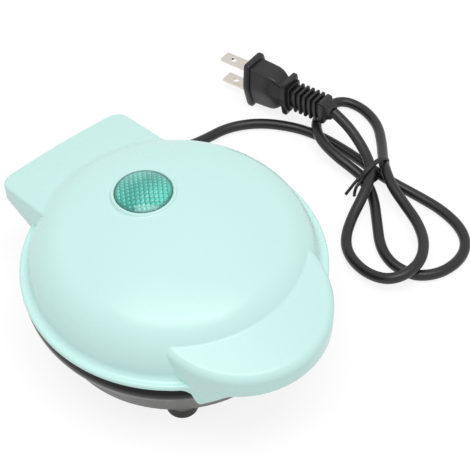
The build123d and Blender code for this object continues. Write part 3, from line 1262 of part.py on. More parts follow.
print("hank length", round(hank_wire.length, 1), "volume over section times length",
      round(cord_hank.part.volume / (pi * CORD_RADIUS**2 * hank_wire.length), 4),
      "least gap", round(least_gap(hank_wire, 1.5, 8 * CORD_RADIUS), 2))
print("hank radii", [round(edge.radius, 1) for edge in hank_wire.edges().filter_by(GeomType.CIRCLE)])
cord_hank.part.label = "cord_hank"
export_step(cord_hank.part, "parts/cord_hank.step")

# Wire tie round the waist, its two ends standing out on the left
tie_route = [
    (106.6, -1.0, 5.4),
    (109.6, -0.5, 8.8),
    (111.4, -0.3, 15.0),
    (129.2, -0.3, 15.0),
    (130.2, -0.2, 8.0),
    (127.6, 0.1, TIE_RADIUS),
    (110.0, 0.4, TIE_RADIUS),
    (109.2, 0.7, 4.8),
    (105.8, 1.1, 4.0),
]
with BuildPart() as cord_tie:
    with BuildLine() as tie_path:
        FilletPolyline(*tie_route, radius=[1.6, 3.0, 3.0, 3.0, 2.6, 1.8, 1.4])
    with BuildSketch(tie_path.line ^ 0):
        Circle(TIE_RADIUS)
    sweep(path=tie_path.line)
cord_tie.part.label = "cord_tie"
export_step(cord_tie.part, "parts/cord_tie.step")

# Plug: a six-sided flange and body, collars and ribs towards the cord, and two flat blades
plug_length = (Vector(*PLUG_TAIL) - Vector(*PLUG_FACE)).length
plug_side = Vector(plug_axis.Y, -plug_axis.X, 0).normalized() * -1
plug_plane = Plane(PLUG_FACE, x_dir=plug_side, z_dir=plug_axis)


def six_sided(half_middle, half_top, half_height):
    """A tall section whose two sides come to a blunt ridge at half height."""
    Polygon((half_middle, 0), (half_top, half_height), (-half_top, half_height),
            (-half_middle, 0), (-half_top, -half_height), (half_top, -half_height), align=None)


with BuildPart() as plug_body:
    for start, thickness, half_middle, half_top, half_height in PLUG_SLABS:
        with BuildSketch(plug_plane.offset(start)):
            six_sided(half_middle, half_top, half_height)
        extrude(amount=thickness)
    for rib in range(PLUG_RIBS):
        with BuildSketch(plug_plane.offset(PLUG_RIB_START + rib * PLUG_RIB_PITCH)):
            six_sided(*PLUG_RIB_SIZE)
        extrude(amount=PLUG_RIB_THICKNESS)
    with BuildSketch(plug_plane.offset(PLUG_BODY_END)):
        six_sided(*PLUG_BODY_SIZE)
    with BuildSketch(plug_plane.offset(PLUG_SHOULDER_END)):
        six_sided(*PLUG_SHOULDER_SIZE)
    loft()
    with BuildSketch(plug_plane.offset(PLUG_SHOULDER_END)):
        six_sided(*PLUG_CORE_SIZE)
    extrude(amount=plug_length - PLUG_SHOULDER_END)
plug_body.part.label = "plug_body"
export_step(plug_body.part, "parts/plug_body.step")

with BuildPart() as plug_blades:
    with BuildSketch(plug_plane):
        with GridLocations(1, BLADE_SPACING, 1, 2):
            Rectangle(BLADE_WIDTH, BLADE_THICKNESS)
    extrude(amount=-BLADE_LENGTH)
    fillet(edges().filter_by(Axis(PLUG_FACE, plug_plane.y_dir)).group_by(
        Axis(PLUG_FACE, plug_axis))[0], BLADE_ROUNDING)
    blade_top = BLADE_SPACING / 2 + BLADE_THICKNESS
    with BuildSketch(Plane(plug_plane.origin - plug_plane.y_dir * blade_top,
                           x_dir=plug_side, z_dir=plug_plane.y_dir)):
        with Locations((0, BLADE_HOLE_FROM_FACE)):
            Circle(BLADE_HOLE_RADIUS)
    extrude(amount=2 * blade_top, mode=Mode.SUBTRACT)
plug_blades.part.label = "plug_blades"
export_step(plug_blades.part, "parts/plug_blades.step")
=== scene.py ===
"""Looks of the round waffle maker: a mint lid over a black base, with its tied mains cord.

Lengths are in millimetres up to the point where a mesh is made, and in metres after it.
X runs to the right, Y from the handle towards the hinge, Z up from the worktop."""
import json
from math import atan2, cos, pi, radians, sin, sqrt, tan

import bmesh
import bpy
import numpy as np
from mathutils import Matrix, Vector


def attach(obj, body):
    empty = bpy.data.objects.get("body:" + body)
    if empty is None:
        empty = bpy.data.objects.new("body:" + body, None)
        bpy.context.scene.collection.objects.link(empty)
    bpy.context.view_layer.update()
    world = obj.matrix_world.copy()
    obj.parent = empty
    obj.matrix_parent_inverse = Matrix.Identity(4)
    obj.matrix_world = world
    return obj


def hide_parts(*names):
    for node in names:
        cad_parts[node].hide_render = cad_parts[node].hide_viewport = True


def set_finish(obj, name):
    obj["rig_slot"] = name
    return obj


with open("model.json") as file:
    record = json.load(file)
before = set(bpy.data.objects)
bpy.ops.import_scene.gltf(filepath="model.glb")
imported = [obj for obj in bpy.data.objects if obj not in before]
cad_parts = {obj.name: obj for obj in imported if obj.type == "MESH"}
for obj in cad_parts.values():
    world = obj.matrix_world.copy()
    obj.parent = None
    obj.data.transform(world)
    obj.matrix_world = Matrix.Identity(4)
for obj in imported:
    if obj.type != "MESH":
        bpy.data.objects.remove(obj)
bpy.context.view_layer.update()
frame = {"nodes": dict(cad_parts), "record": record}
nodes = frame["nodes"]
MM = 0.001

# Lid
LID_RADIUS = 63.5
DOME_RADIUS = 59.3
DOME_TOP = 66.6
CROWN_RADIUS = 160.0
SHOULDER_RADIUS = 20.0
RIM_BOTTOM = 38.0
RIM_TOP = 40.0
RIM_ROUNDING = 1.0
RIM_COVE = 2.8
LIP_ROUNDING = 0.3
COVER_WALL = 2.2
DOME_STEPS = 288

# Handle and tab, which share one falling top
SHELF_HEIGHT = 54.0
SHELF_START = 54.5
SHELF_FALL = radians(12.8)
HANDLE_BLEND = 0.5
TAB_BLEND = 2.6
SKIN_SINK = 0.05
SKIN_START = 52.0
SKIN_FADE = 3.0
SKIN_LEAST_WALL = 0.6
SKIN_RIM_MARGIN = 0.4
SKIN_RIM_SINK = 1.0
SKIN_INNER_CORNER = 0.5
REACH = 76.8
HANDLE_RADIUS = 38.3
HANDLE_EDGE = 3.0
HANDLE_UNDERSIDE = 39.2
EAR_LOW = 29.0
EAR_FRONT = -54.8
EAR_BACK = -51.3
EAR_START_ANGLE = 32.5
EAR_END_ANGLE = 42.0
EAR_SOFTNESS = 1.2
EAR_TOP = 38.8
EAR_LEAST_DROP = 0.2
EAR_WALL = 2.0
EAR_ROUNDING = 0.3
TAB_HALF_WIDTH = 32.5
TAB_CORNER = 6.0
TAB_EDGE = 1.2
TAB_REACH = 77.1
TAB_LOW = 36.0
TAB_BACK_LOW = 41.7

# Lens
LENS_BACK = 18.0
LENS_LEAN = radians(3.0)
LENS_RADIUS = 11.9
LENS_CROWN = 2.9
LENS_WALL = 1.5
LENS_ROUNDING = 0.3
LENS_ROUNDING_DROP = 0.25
LENS_ROUNDING_SPREAD = 0.8
LENS_ROOT = -1.9
LENS_GAP = 0.2
LENS_SINK = 0.35
LENS_STEPS = 144
BEZEL_RADIUS = 13.4
BEZEL_FOOT = 1.3
BEZEL_RISE = 1.0
BEZEL_ROOT = -2.4
BEZEL_INNER_ROUNDING = 0.5
BEZEL_OUTER_ROUNDING = 0.6
BEZEL_COVE_SHARE = 0.75
BEZEL_TUCK_OUT = 0.3
BEZEL_TUCK_DOWN = 0.4
BEZEL_STEPS = 160

# Small pyramids in the lens: their width, their turn, and where the painted shade of the grooves and
# dots begins in one
CELL = 1.9
CELL_TURN = radians(34)
CELL_GROOVE = 0.42
CELL_DOT = 0.33

# Painted shade darkens the lens between these two distances from its edge
SHADE_INSIDE = 1.5
SHADE_OUTSIDE = 0.4

# Base: the height at which the glossy band meets the bowl, where the band's painted shade gives way to
# the bowl's painted reflection
BAND_HEIGHT = 25.3

# Cord, tie and plug
CORD_DIAMETER = 5.0
TIE_DIAMETER = 1.5
TIE_CENTRE = (119.7, 7.25)
TIE_HALF_SIZE = (8.7, 6.45)
TIE_POWER = 2.6
TIE_TURNS = 2
TIE_START = 0.93 * pi
PLUG_FACE = (115.7, 80.2, 13.0)
PLUG_TAIL = (125.1, 33.1, 18.0)
PLUG_POWER = 22
PLUG_STEPS = 96
RIB_COUNT = 5
RIB_START = 27.4
RIB_PITCH = 2.95
BLADE_LENGTH = 17.0
BLADE_WIDTH = 6.35
BLADE_THICKNESS = 1.5
BLADE_SPACING = 12.7
BLADE_HOLE = 10.8
BLADE_HOLE_RADIUS = 1.6
BLADE_HOLE_BEVEL = 0.12
BLADE_ROOT = 0.4
BLADE_POWER = 16
BLADE_STEPS = 120

# Colours
MINT = (0.665, 0.97, 0.925, 1.0)
MINT_CLOUD = (0.655, 0.96, 0.915, 1.0)
# The base is one black plastic: near black on the band as painted shade under the lid's rim, grey on
# the bowl as a painted reflection of the worktop
BAND_PAINTED_SHADE = (0.004, 0.004, 0.004, 1.0)
BOWL_PAINTED_REFLECTION = (0.20, 0.198, 0.194, 1.0)
# The ends of the lens's painted shade on the faces of its pyramids, mixed with a random cloud
LENS_DEEP = (0.008, 0.37, 0.29, 1.0)
LENS_BRIGHT = (0.14, 0.85, 0.70, 1.0)
# Painted shade in the grooves between the lens's pyramids and at their corners
LENS_GROOVE_SHADE = (0.01, 0.28, 0.22, 1.0)
LENS_DOT_SHADE = (0.0, 0.13, 0.10, 1.0)
# Painted shade round the lens's edge
LENS_EDGE_SHADE = (0.01, 0.22, 0.18, 1.0)
CORD_BLACK = (0.011, 0.011, 0.0115, 1.0)
TIE_BLACK = (0.015, 0.015, 0.015, 1.0)
FOOT_BLACK = (0.014, 0.013, 0.011, 1.0)
COATING = (0.03, 0.03, 0.032, 1.0)
COATING_FLECK = (0.12, 0.12, 0.125, 1.0)
ALUMINIUM = (0.66, 0.66, 0.67, 1.0)
HEATED_STEEL = (0.30, 0.27, 0.24, 1.0)
ZINC = (0.62, 0.62, 0.60, 1.0)
WARM_NICKEL = (0.78, 0.72, 0.65, 1.0)
CERAMIC = (0.80, 0.78, 0.72, 1.0)
GLASS_SLEEVE = (0.74, 0.71, 0.62, 1.0)
LAMP_PALE = (0.95, 0.62, 0.42, 1.0)
LAMP_WARM = (0.9, 0.5, 0.3, 1.0)

# Camera and studio
VIEW_AZIMUTH = radians(-41.5)
VIEW_HEIGHT = radians(49.72)
VIEW_TARGET = (32.7, -0.5, 30.0)
VIEW_DISTANCE = 575.6
VIEW_LENS = 103.4
SENSOR_WIDTH = 36.0
SOFTBOX_PLACE = (-50, -120, 1050)
SOFTBOX_SIZE = (800, 500)
SOFTBOX_POWER = 5.0
FLOOR_REACH = 4000
FLOOR_LIT = (0.86, 0.86, 0.86, 1.0)
FLOOR_SEEN = (0.22, 0.22, 0.22, 1.0)
FLOOR_GLOW = 0.84
ROOM_LIGHT = 0.5
ROOM_SEEN = 0.9


def arc(centre, radius, start, end, count):
    """Points on a circle's arc, from one angle in degrees to the other, both ends kept."""
    turn = np.radians(np.linspace(start, end, count))
    return np.column_stack([centre[0] + radius * np.cos(turn), centre[1] + radius * np.sin(turn)])


def grid_piece(name, grid, body, slot, ring_rows=False, ring_columns=True, ends=False, crease=40):
    """A mesh from rows x columns of points in mm, each point joined to its four neighbours.

    ring_rows and ring_columns join the last row or column to the first, and ends closes the
    first and the last column with a flat face."""
    rows, columns = grid.shape[:2]
    index = np.arange(rows * columns).reshape(rows, columns)
    first, last = index[:, 0].tolist(), index[:, -1].tolist()
    if ring_rows:
        index = np.vstack([index, index[:1]])
    if ring_columns:
        index = np.hstack([index, index[:, :1]])
    faces = np.stack([index[:-1, :-1], index[1:, :-1], index[1:, 1:], index[:-1, 1:]], axis=-1)
    faces = faces.reshape(-1, 4).tolist()
    if ends:
        faces += [first, last]
    mesh = bpy.data.meshes.new(name)
    mesh.from_pydata((grid.reshape(-1, 3) * MM).tolist(), [], faces)
    work = bmesh.new()
    work.from_mesh(mesh)
    bmesh.ops.remove_doubles(work, verts=work.verts, dist=1e-6)
    bmesh.ops.recalc_face_normals(work, faces=work.faces)
    work.to_mesh(mesh)
    work.free()
    mesh.polygons.foreach_set("use_smooth", np.ones(len(mesh.polygons), bool))
    mesh.set_sharp_from_angle(angle=radians(crease))
    piece = bpy.data.objects.new(name, mesh)
    bpy.context.scene.collection.objects.link(piece)
    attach(piece, body)
    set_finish(piece, slot)
    return piece


def turned(profile, count):
    """A profile of radius and height carried round the upright axis."""
    turn = np.linspace(0, 2 * pi, count, endpoint=False)
    radius, height = profile[:, :1], profile[:, 1:]
    return np.stack([radius * np.cos(turn), radius * np.sin(turn), height + 0 * turn], axis=-1)


def placed(radius, height, turn):
    """Points at radii and heights round the lens's axis, which leans back about the X direction."""
    across = radius * np.cos(turn)
    along = radius * np.sin(turn)
    return np.stack([lens_origin[0] + across,
                     lens_origin[1] + along * cos(LENS_LEAN) + height * sin(LENS_LEAN),
                     lens_origin[2] - along * sin(LENS_LEAN) + height * cos(LENS_LEAN)], axis=-1)


# The dome's line: a crown circle and a shoulder circle that touch
crown_z = DOME_TOP - CROWN_RADIUS
shoulder_r = DOME_RADIUS - SHOULDER_RADIUS
between = CROWN_RADIUS - SHOULDER_RADIUS
shoulder_z = crown_z + sqrt(between**2 - shoulder_r**2)
lean_angle = np.degrees(atan2(shoulder_z - crown_z, shoulder_r))
meeting_r = CROWN_RADIUS * cos(radians(lean_angle))


def dome_height(r):
    """Height of the dome at radius r: the crown's circle, then the shoulder's."""
    crown = crown_z + np.sqrt(np.maximum(CROWN_RADIUS**2 - r**2, 0))
    inside = np.maximum(SHOULDER_RADIUS**2 - (r - shoulder_r) ** 2, 0)
    return np.where(r < meeting_r, crown, shoulder_z + np.sqrt(inside))


def smooth_max(a, b, width):
    """The larger of two heights, with a rounded valley where they differ by less than width.

    The valley adds the square of what is left of the width, over four widths."""
    overlap = np.maximum(width - np.abs(a - b), 0)
    return np.maximum(a, b) + overlap**2 / (4 * width)


def shelf_top(plan):
    """The top of the handle and the tab: a cone that falls outwards and flows into the dome."""
    r = np.hypot(plan[..., 0], plan[..., 1])
    shelf = SHELF_HEIGHT - (r - SHELF_START) * tan(SHELF_FALL)
    blend = np.where(plan[..., 1] > 0, TAB_BLEND, HANDLE_BLEND)
    return smooth_max(shelf, dome_height(r) - SKIN_SINK, blend)


def make_dome():
    """The round body: the dome's line, a cove, the rim, and the same line a wall's thickness inside."""
    cove_z = RIM_TOP + RIM_COVE
    cove_reach = SHOULDER_RADIUS + RIM_COVE
    cove_r = shoulder_r + sqrt(cove_reach**2 - (cove_z - shoulder_z) ** 2)
    foot_angle = np.degrees(atan2(cove_z - shoulder_z, cove_r - shoulder_r))
    edge_r = LID_RADIUS - RIM_ROUNDING
    inner_shoulder = SHOULDER_RADIUS - COVER_WALL
    inner_crown = CROWN_RADIUS - COVER_WALL
    inner_foot = np.degrees(atan2(RIM_TOP - shoulder_z, inner_shoulder))
    profile = np.vstack([
        arc((0, crown_z), CROWN_RADIUS, 90, lean_angle, 40),
        arc((shoulder_r, shoulder_z), SHOULDER_RADIUS, lean_angle, foot_angle, 28)[1:],
        arc((cove_r, cove_z), RIM_COVE, 180 + foot_angle, 270, 10)[1:],
        arc((edge_r, RIM_TOP - RIM_ROUNDING), RIM_ROUNDING, 90, 0, 7),
        arc((LID_RADIUS - LIP_ROUNDING, RIM_BOTTOM + LIP_ROUNDING), LIP_ROUNDING, 0, -90, 4),
        [(shoulder_r + inner_shoulder, RIM_BOTTOM)],
        arc((shoulder_r, shoulder_z), inner_shoulder, inner_foot, lean_angle, 12),
        arc((0, crown_z), inner_crown, lean_angle, 90, 12)[1:],
    ])
    profile[0, 0] = 0
    profile[-1, 0] = 0
    return grid_piece("lid_dome", turned(profile, DOME_STEPS), "lid", "lid_plastic")


def lower_edge(path, edge, outside):
    """Height of a wall's lip: the given line outside the rim, and just below the rim's top within.

    Inside the dome it rises over a short distance to just below the rounded edge."""
    away = np.hypot(path[:, 0], path[:, 1])
    highest = shelf_top(path) - edge - SKIN_LEAST_WALL
    low = np.where(away > LID_RADIUS - SKIN_RIM_MARGIN, outside, RIM_TOP - SKIN_RIM_SINK)
    low = low + (highest - low) * np.clip((DOME_RADIUS - away) / SKIN_FADE, 0, 1)
    return np.minimum(low, highest)


def shelf_skin(name, path, inward, edge, outside):
    """A hollow block under the shelf's top, closed round its section.

    Each column of the grid is one section: over the top from inside the dome's wall, round the
    edge as a quarter circle, down the wall to its lip, up inside the wall and back under the top."""
    low = lower_edge(path, edge, outside)
    inset = path + inward * edge
    away = np.hypot(inset[:, 0], inset[:, 1])[:, None]
    start = inset * np.minimum(SKIN_START / away, 1)
    rows = []
    for share in np.linspace(0, 1, 46):
        plan = start + (inset - start) * share
        rows.append(np.column_stack([plan, shelf_top(plan)]))
    for turn in np.radians(np.linspace(0, 90, 9)[1:]):
        plan = path + inward * edge * (1 - sin(turn))
        rows.append(np.column_stack([plan, shelf_top(plan) - edge * (1 - cos(turn))]))
    wall_top = rows[-1][:, 2]
    for share in np.linspace(0, 1, 7)[1:]:
        rows.append(np.column_stack([path, wall_top + (low + LIP_ROUNDING - wall_top) * share]))
    for turn in np.radians((45, 90)):
        plan = path + inward * LIP_ROUNDING * (1 - cos(turn))
        rows.append(np.column_stack([plan, low + LIP_ROUNDING * (1 - sin(turn))]))
    for turn in np.radians((0, 45, 90)):
        plan = path + inward * (COVER_WALL - LIP_ROUNDING * (1 - sin(turn)))
        rows.append(np.column_stack([plan, low + LIP_ROUNDING * (1 - cos(turn))]))
    inner = path + inward * COVER_WALL
    rows.append(np.column_stack([inner, wall_top - SKIN_INNER_CORNER]))
    rows.append(np.column_stack([inset, shelf_top(inset) - COVER_WALL]))
    rows.append(np.column_stack([start, shelf_top(start) - COVER_WALL]))
    return grid_piece(name, np.array(rows), "lid", "lid_plastic", ring_rows=True,
                      ring_columns=False, ends=True)


def ear_line(y):
    """Height of the lowest edge below the handle: straight lines that drop to the two ears.

    The mean of nine copies, shifted a little along Y, rounds the line's corners."""
    drop = HANDLE_UNDERSIDE - EAR_LOW
    line = [np.interp(y + shift, (EAR_FRONT - drop, EAR_FRONT, EAR_BACK),
                      (HANDLE_UNDERSIDE, EAR_LOW, RIM_BOTTOM))
            for shift in np.linspace(-EAR_SOFTNESS, EAR_SOFTNESS, 9)]
    return np.mean(line, axis=0)


def make_handle():
    """The handle's block follows a circle, with the ears' line as its lip.

    The circle ends where it passes through the circle on which the skin starts."""
    centre = np.array([0, HANDLE_RADIUS - REACH])
    hidden = np.arccos((SKIN_START**2 - centre[1] ** 2 - HANDLE_RADIUS**2)
                       / (2 * -centre[1] * HANDLE_RADIUS))
    turn = np.linspace(-hidden, hidden, 301)
    inward = np.column_stack([-np.sin(turn), np.cos(turn)])
    path = centre - inward * HANDLE_RADIUS
    return shelf_skin("lid_handle", path, inward, HANDLE_EDGE, ear_line(path[:, 1]))


def make_ears():
    """The part of each ear that follows the rim: a wall from the rim down to the ears' line.

    Its section is a list of insets from the rim's radius and shares of the way down."""
    section = [(0.06, 0.0), (0.03, 0.4), (0.02, 0.9), (0.1, 0.97), (EAR_ROUNDING, 1.0),
               (EAR_WALL - EAR_ROUNDING, 1.0), (EAR_WALL, 0.95), (EAR_WALL, 0.0)]
    ears = []
    for name, side in (("lid_ear_left", -1), ("lid_ear_right", 1)):
        turn = np.radians(np.linspace(EAR_START_ANGLE, EAR_END_ANGLE, 41))
        out = np.column_stack([side * np.sin(turn), -np.cos(turn)])
        low = np.minimum(ear_line(out[:, 1] * LID_RADIUS), RIM_BOTTOM + EAR_LEAST_DROP)
        rows = [np.column_stack([out * (LID_RADIUS - inset), EAR_TOP + (low - EAR_TOP) * share])
                for inset, share in section]
        ears.append(grid_piece(name, np.array(rows), "lid", "lid_plastic", ring_rows=True,
                               ring_columns=False, ends=True))
    return ears


def make_tab():
    """The tab's block follows three sides of a rectangle with two round corners.

    One half is drawn with the direction inwards at each point, and mirrored across the middle."""
    start = sqrt(SKIN_START**2 - TAB_HALF_WIDTH**2)
    straight = TAB_REACH - TAB_CORNER
    corner_x = TAB_HALF_WIDTH - TAB_CORNER
    side_y = np.linspace(start, straight, 60)
    turn = np.radians(np.linspace(180, 90, 16))
    left = np.column_stack([0 * side_y - TAB_HALF_WIDTH, side_y])
    left_way = np.column_stack([0 * side_y + 1, 0 * side_y])
    corner = np.column_stack([-corner_x + TAB_CORNER * np.cos(turn),
                              straight + TAB_CORNER * np.sin(turn)])
    corner_way = np.column_stack([-np.cos(turn), -np.sin(turn)])
    back_x = np.linspace(-corner_x, 0, 45)
    back = np.column_stack([back_x, 0 * back_x + TAB_REACH])
    back_way = np.column_stack([0 * back_x, 0 * back_x - 1])
    half = np.vstack([left, corner[1:], back[1:]])
    half_way = np.vstack([left_way, corner_way[1:], back_way[1:]])
    mirrored = np.array([-1, 1])
    path = np.vstack([half, half[-2::-1] * mirrored])
    inward = np.vstack([half_way, half_way[-2::-1] * mirrored])
    slanted = np.interp(path[:, 1], (SHELF_START, TAB_REACH), (TAB_LOW, TAB_BACK_LOW))
    return shelf_skin("lid_tab", path, inward, TAB_EDGE, slanted)


# The lens stands a little behind the crown's middle and leans back less than the crown does
lens_origin = (0, LENS_BACK, crown_z + sqrt(CROWN_RADIUS**2 - LENS_BACK**2))


def dome_under(radius, turn):
    """Height of the dome over the lens's leaning plane, at a distance from the lens's axis.

    The dome's upright height at that place, less the plane's, is turned to the leaning axis."""
    across = radius * np.cos(turn)
    along = radius * np.sin(turn)
    height = dome_height(np.hypot(across, LENS_BACK + along * cos(LENS_LEAN)))
    return (height - lens_origin[2] + along * sin(LENS_LEAN)) / cos(LENS_LEAN)


def make_bezel():
    """A ring round the lens: two rounded edges, then a quarter of an ellipse down to the dome.

    The foot follows the dome, so every height is worked out for each turn of the ring."""
    turn = np.linspace(0, 2 * pi, BEZEL_STEPS, endpoint=False)
    level = 0 * turn
    inner = LENS_RADIUS + LENS_GAP
    foot = dome_under(BEZEL_RADIUS + BEZEL_FOOT, turn)
    cove = np.minimum(BEZEL_FOOT, BEZEL_COVE_SHARE * (BEZEL_RISE - foot))
    edge = np.vstack([arc((inner + BEZEL_INNER_ROUNDING, BEZEL_RISE - BEZEL_INNER_ROUNDING),
                          BEZEL_INNER_ROUNDING, 180, 90, 7),
                      arc((BEZEL_RADIUS - BEZEL_OUTER_ROUNDING, BEZEL_RISE - BEZEL_OUTER_ROUNDING),
                          BEZEL_OUTER_ROUNDING, 90, 0, 8)])
    rows = [(level + inner, level + BEZEL_ROOT)]
    rows += [(level + radius, np.maximum(height, foot + cove)) for radius, height in edge]
    for step in np.radians(np.linspace(0, 90, 8)):
        rows.append((level + BEZEL_RADIUS + BEZEL_FOOT * (1 - cos(step)),
                     foot + cove * (1 - sin(step))))
    rows.append((level + BEZEL_RADIUS + BEZEL_FOOT + BEZEL_TUCK_OUT, foot - BEZEL_TUCK_DOWN))
    rows.append((level + BEZEL_RADIUS, level + BEZEL_ROOT))
    radius, height = np.array(rows).transpose(1, 0, 2)
    grid = placed(radius, height, turn)
    return grid_piece("lens_bezel", grid, "lid", "lid_plastic", ring_rows=True)


def make_lens():
    """A shallow spherical cap over a short wall, hollow below, closed on the axis."""
    edge = BEZEL_RISE - LENS_SINK
    sphere = (LENS_RADIUS**2 + LENS_CROWN**2) / (2 * LENS_CROWN)
    centre = edge + LENS_CROWN - sphere
    outer = np.degrees(atan2(edge - centre, LENS_RADIUS))
    inner_sphere = sphere - LENS_WALL
    inner = np.degrees(np.arccos((LENS_RADIUS - LENS_WALL) / inner_sphere))
    profile = np.vstack([
        arc((0, centre), sphere, 90, outer + LENS_ROUNDING_SPREAD, 30),
        arc((LENS_RADIUS - LENS_ROUNDING, edge - LENS_ROUNDING_DROP), LENS_ROUNDING, 60, 0, 4),
        [(LENS_RADIUS, LENS_ROOT), (LENS_RADIUS - LENS_WALL, LENS_ROOT)],
        arc((0, centre), inner_sphere, inner, 90, 16),
    ])
    profile[0, 0] = 0
    profile[-1, 0] = 0
    turn = np.linspace(0, 2 * pi, LENS_STEPS, endpoint=False)
    grid = placed(profile[:, :1] + 0 * turn, profile[:, 1:] + 0 * turn, turn)
    return grid_piece("lens", grid, "lid", "lens_plastic")


# Mains cord: out of the base, behind the lid, along the worktop, and in three loops held by the tie
CORD_ROUTE = [
    # from the strain relief down to the worktop and along to the tie
    (42.91, 59.06, 14.0), (46.5, 64.0, 14.0), (53.5, 69.2, 11.5), (62.5, 71.2, 6.8),
    (76.0, 71.2, 3.4), (91.0, 70.6, 2.6), (105.0, 62.5, 2.6), (115.5, 49.0, 2.6),
    (120.6, 36.0, 2.6), (122.8, 21.0, 2.6), (123.0, 9.0, 3.4), (122.6, -1.5, 4.3),
    # right loop
    (124.6, -11.0, 3.4), (127.4, -21.5, 2.6), (129.4, -35.0, 2.6), (127.9, -47.8, 2.6),
    (122.6, -56.4, 2.6), (113.5, -60.6, 2.6), (102.2, -60.2, 2.6), (93.2, -55.0, 2.6),
    (90.0, -48.0, 2.6), (89.3, -40.5, 2.6), (92.6, -31.2, 2.6), (102.0, -20.0, 2.6),
    (110.4, -9.8, 3.2), (115.3, 0.4, 4.2),
    # upper loop, over the cord and below the plug
    (115.0, 8.5, 5.4), (113.4, 18.5, 7.4), (114.4, 30.5, 8.4), (119.6, 39.6, 8.2),
    (129.0, 45.6, 5.6), (138.6, 48.4, 3.8), (146.4, 45.6, 3.0), (149.4, 35.6, 2.6),
    (146.6, 23.4, 2.8), (138.3, 12.8, 4.4), (129.0, 3.2, 7.2), (123.4, -3.2, 9.8),
    # front loop, over the right loop
    (118.4, -12.8, 8.8), (116.0, -23.2, 7.0), (112.6, -35.4, 6.4), (105.6, -45.8, 7.6),
    (95.4, -52.8, 8.8), (84.8, -53.2, 8.4), (78.2, -48.2, 6.2), (75.8, -37.8, 4.0),
    (78.0, -26.0, 2.8), (83.8, -17.8, 2.6), (93.0, -12.2, 4.2), (103.6, -8.2, 7.4),
    (111.6, -4.6, 9.4), (117.8, 0.0, 9.9),
    # up to the plug
    (121.4, 6.4, 11.2), (124.2, 15.4, 13.4), (125.6, 25.0, 16.0), (125.1, 33.1, 18.0),
]


def curve_piece(name, route, diameter, body, slot):
    """One smooth round wire: a NURBS line that its control points pull towards themselves.

    Every point's radius is half the diameter, and a bevel depth of one metre takes it as it is."""
    curve = bpy.data.curves.new(name, "CURVE")
    curve.dimensions = "3D"
    curve.bevel_depth = 1.0
    curve.bevel_resolution = 6
    curve.resolution_u = 10
    curve.use_fill_caps = True
    spline = curve.splines.new("NURBS")
    spline.points.add(len(route) - 1)
    for point, place in zip(spline.points, route):
        point.co = (place[0] * MM, place[1] * MM, place[2] * MM, 1)
        point.radius = diameter / 2 * MM
    spline.order_u = 3
    spline.use_endpoint_u = True
    piece = bpy.data.objects.new(name, curve)
    bpy.context.scene.collection.objects.link(piece)
    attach(piece, body)
    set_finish(piece, slot)
    return piece


# The plug's axes: along the cord, across and up
plug_face = np.array(PLUG_FACE)
plug_axis = np.array(PLUG_TAIL) - plug_face
plug_length = np.linalg.norm(plug_axis)
plug_axis = plug_axis / plug_length
plug_side = np.array([-plug_axis[1], plug_axis[0], 0]) / np.hypot(plug_axis[0], plug_axis[1])
plug_up = np.cross(plug_axis, plug_side)


def rounded_radius(turn, sides, power):
    """Distance to a rounded polygon's edge: the power mean of its sides, by angle."""
    total = 0
    for side_turn, distance in sides:
        total = total + (np.maximum(np.cos(turn - side_turn), 0) / distance) ** power
    return total ** (-1 / power)


def plug_section(middle, top, height, turn):
    """Across and up on a six-sided section with a blunt ridge at half height."""
    tilt = np.arctan2(middle - top, height)
    slope = middle * np.cos(tilt)
    sides = [(pi / 2, height), (-pi / 2, height), (tilt, slope), (-tilt, slope),
             (pi - tilt, slope), (pi + tilt, slope)]
    radius = rounded_radius(turn, sides, PLUG_POWER)
    return radius * np.cos(turn), radius * np.sin(turn)


def rib_stations():
    """Sections along the plug: distance from the face, half widths at mid height and top, half height.

    The body narrows to its waist, a collar follows, then equal ribs on a thin neck, then the tail."""
    stations = [(0.0, 7.9, 5.7, 12.0), (0.35, 8.4, 6.1, 12.5), (0.8, 8.6, 6.3, 12.7),
                (2.9, 8.6, 6.3, 12.7), (3.3, 8.4, 6.1, 12.4), (3.45, 7.9, 5.8, 11.9),
                (3.5, 7.3, 5.5, 10.7), (5.0, 7.1, 5.3, 10.4), (10.0, 7.0, 5.2, 10.2),
                (14.0, 6.9, 5.1, 9.9), (16.0, 6.6, 4.9, 9.3), (17.6, 6.1, 4.6, 8.3),
                (18.8, 5.5, 4.3, 7.2), (20.0, 5.0, 4.0, 6.3), (21.1, 4.8, 3.8, 6.0),
                (21.2, 6.2, 5.2, 8.8), (21.5, 6.8, 5.6, 9.3), (23.4, 6.8, 5.6, 9.4),
                (23.8, 6.3, 5.3, 8.9), (23.85, 5.0, 4.4, 6.7), (25.3, 5.2, 4.6, 6.9),
                (25.6, 4.9, 4.3, 6.5), (25.65, 3.9, 3.3, 4.6)]
    neck, rib_side, rib = (3.9, 3.3, 4.6), (4.5, 3.9, 5.8), (4.9, 4.3, 6.2)
    for number in range(RIB_COUNT):
        start = RIB_START + number * RIB_PITCH
        stations += [(start - 0.02, *neck), (start, *rib_side), (start + 0.25, *rib),
                     (start + 1.25, *rib), (start + 1.5, *rib_side), (start + 1.52, *neck)]
    stations += [(41.98, *neck), (42.0, 4.6, 4.0, 5.9), (42.3, *rib),
                 (44.6, 4.8, 4.2, 6.0), (45.0, 4.4, 3.8, 5.4), (45.6, 3.4, 3.1, 3.8),
                 (47.2, 3.0, 2.9, 3.1), (plug_length, 2.8, 2.75, 2.8)]
    return stations


def make_plug():
    """The plug's body: a rounded six-sided section carried along its axis, closed at both ends."""
    turn = np.linspace(0, 2 * pi, PLUG_STEPS, endpoint=False)
    rows = [np.broadcast_to(plug_face, (PLUG_STEPS, 3))]
    for along, middle, top, height in rib_stations():
        across, tall = plug_section(middle, top, height, turn)
        rows.append(plug_face + plug_axis * along + across[:, None] * plug_side
                    + tall[:, None] * plug_up)
    rows.append(np.broadcast_to(plug_face + plug_axis * plug_length, (PLUG_STEPS, 3)))
    return grid_piece("plug", np.array(rows), "base", "cord_jacket", crease=50)


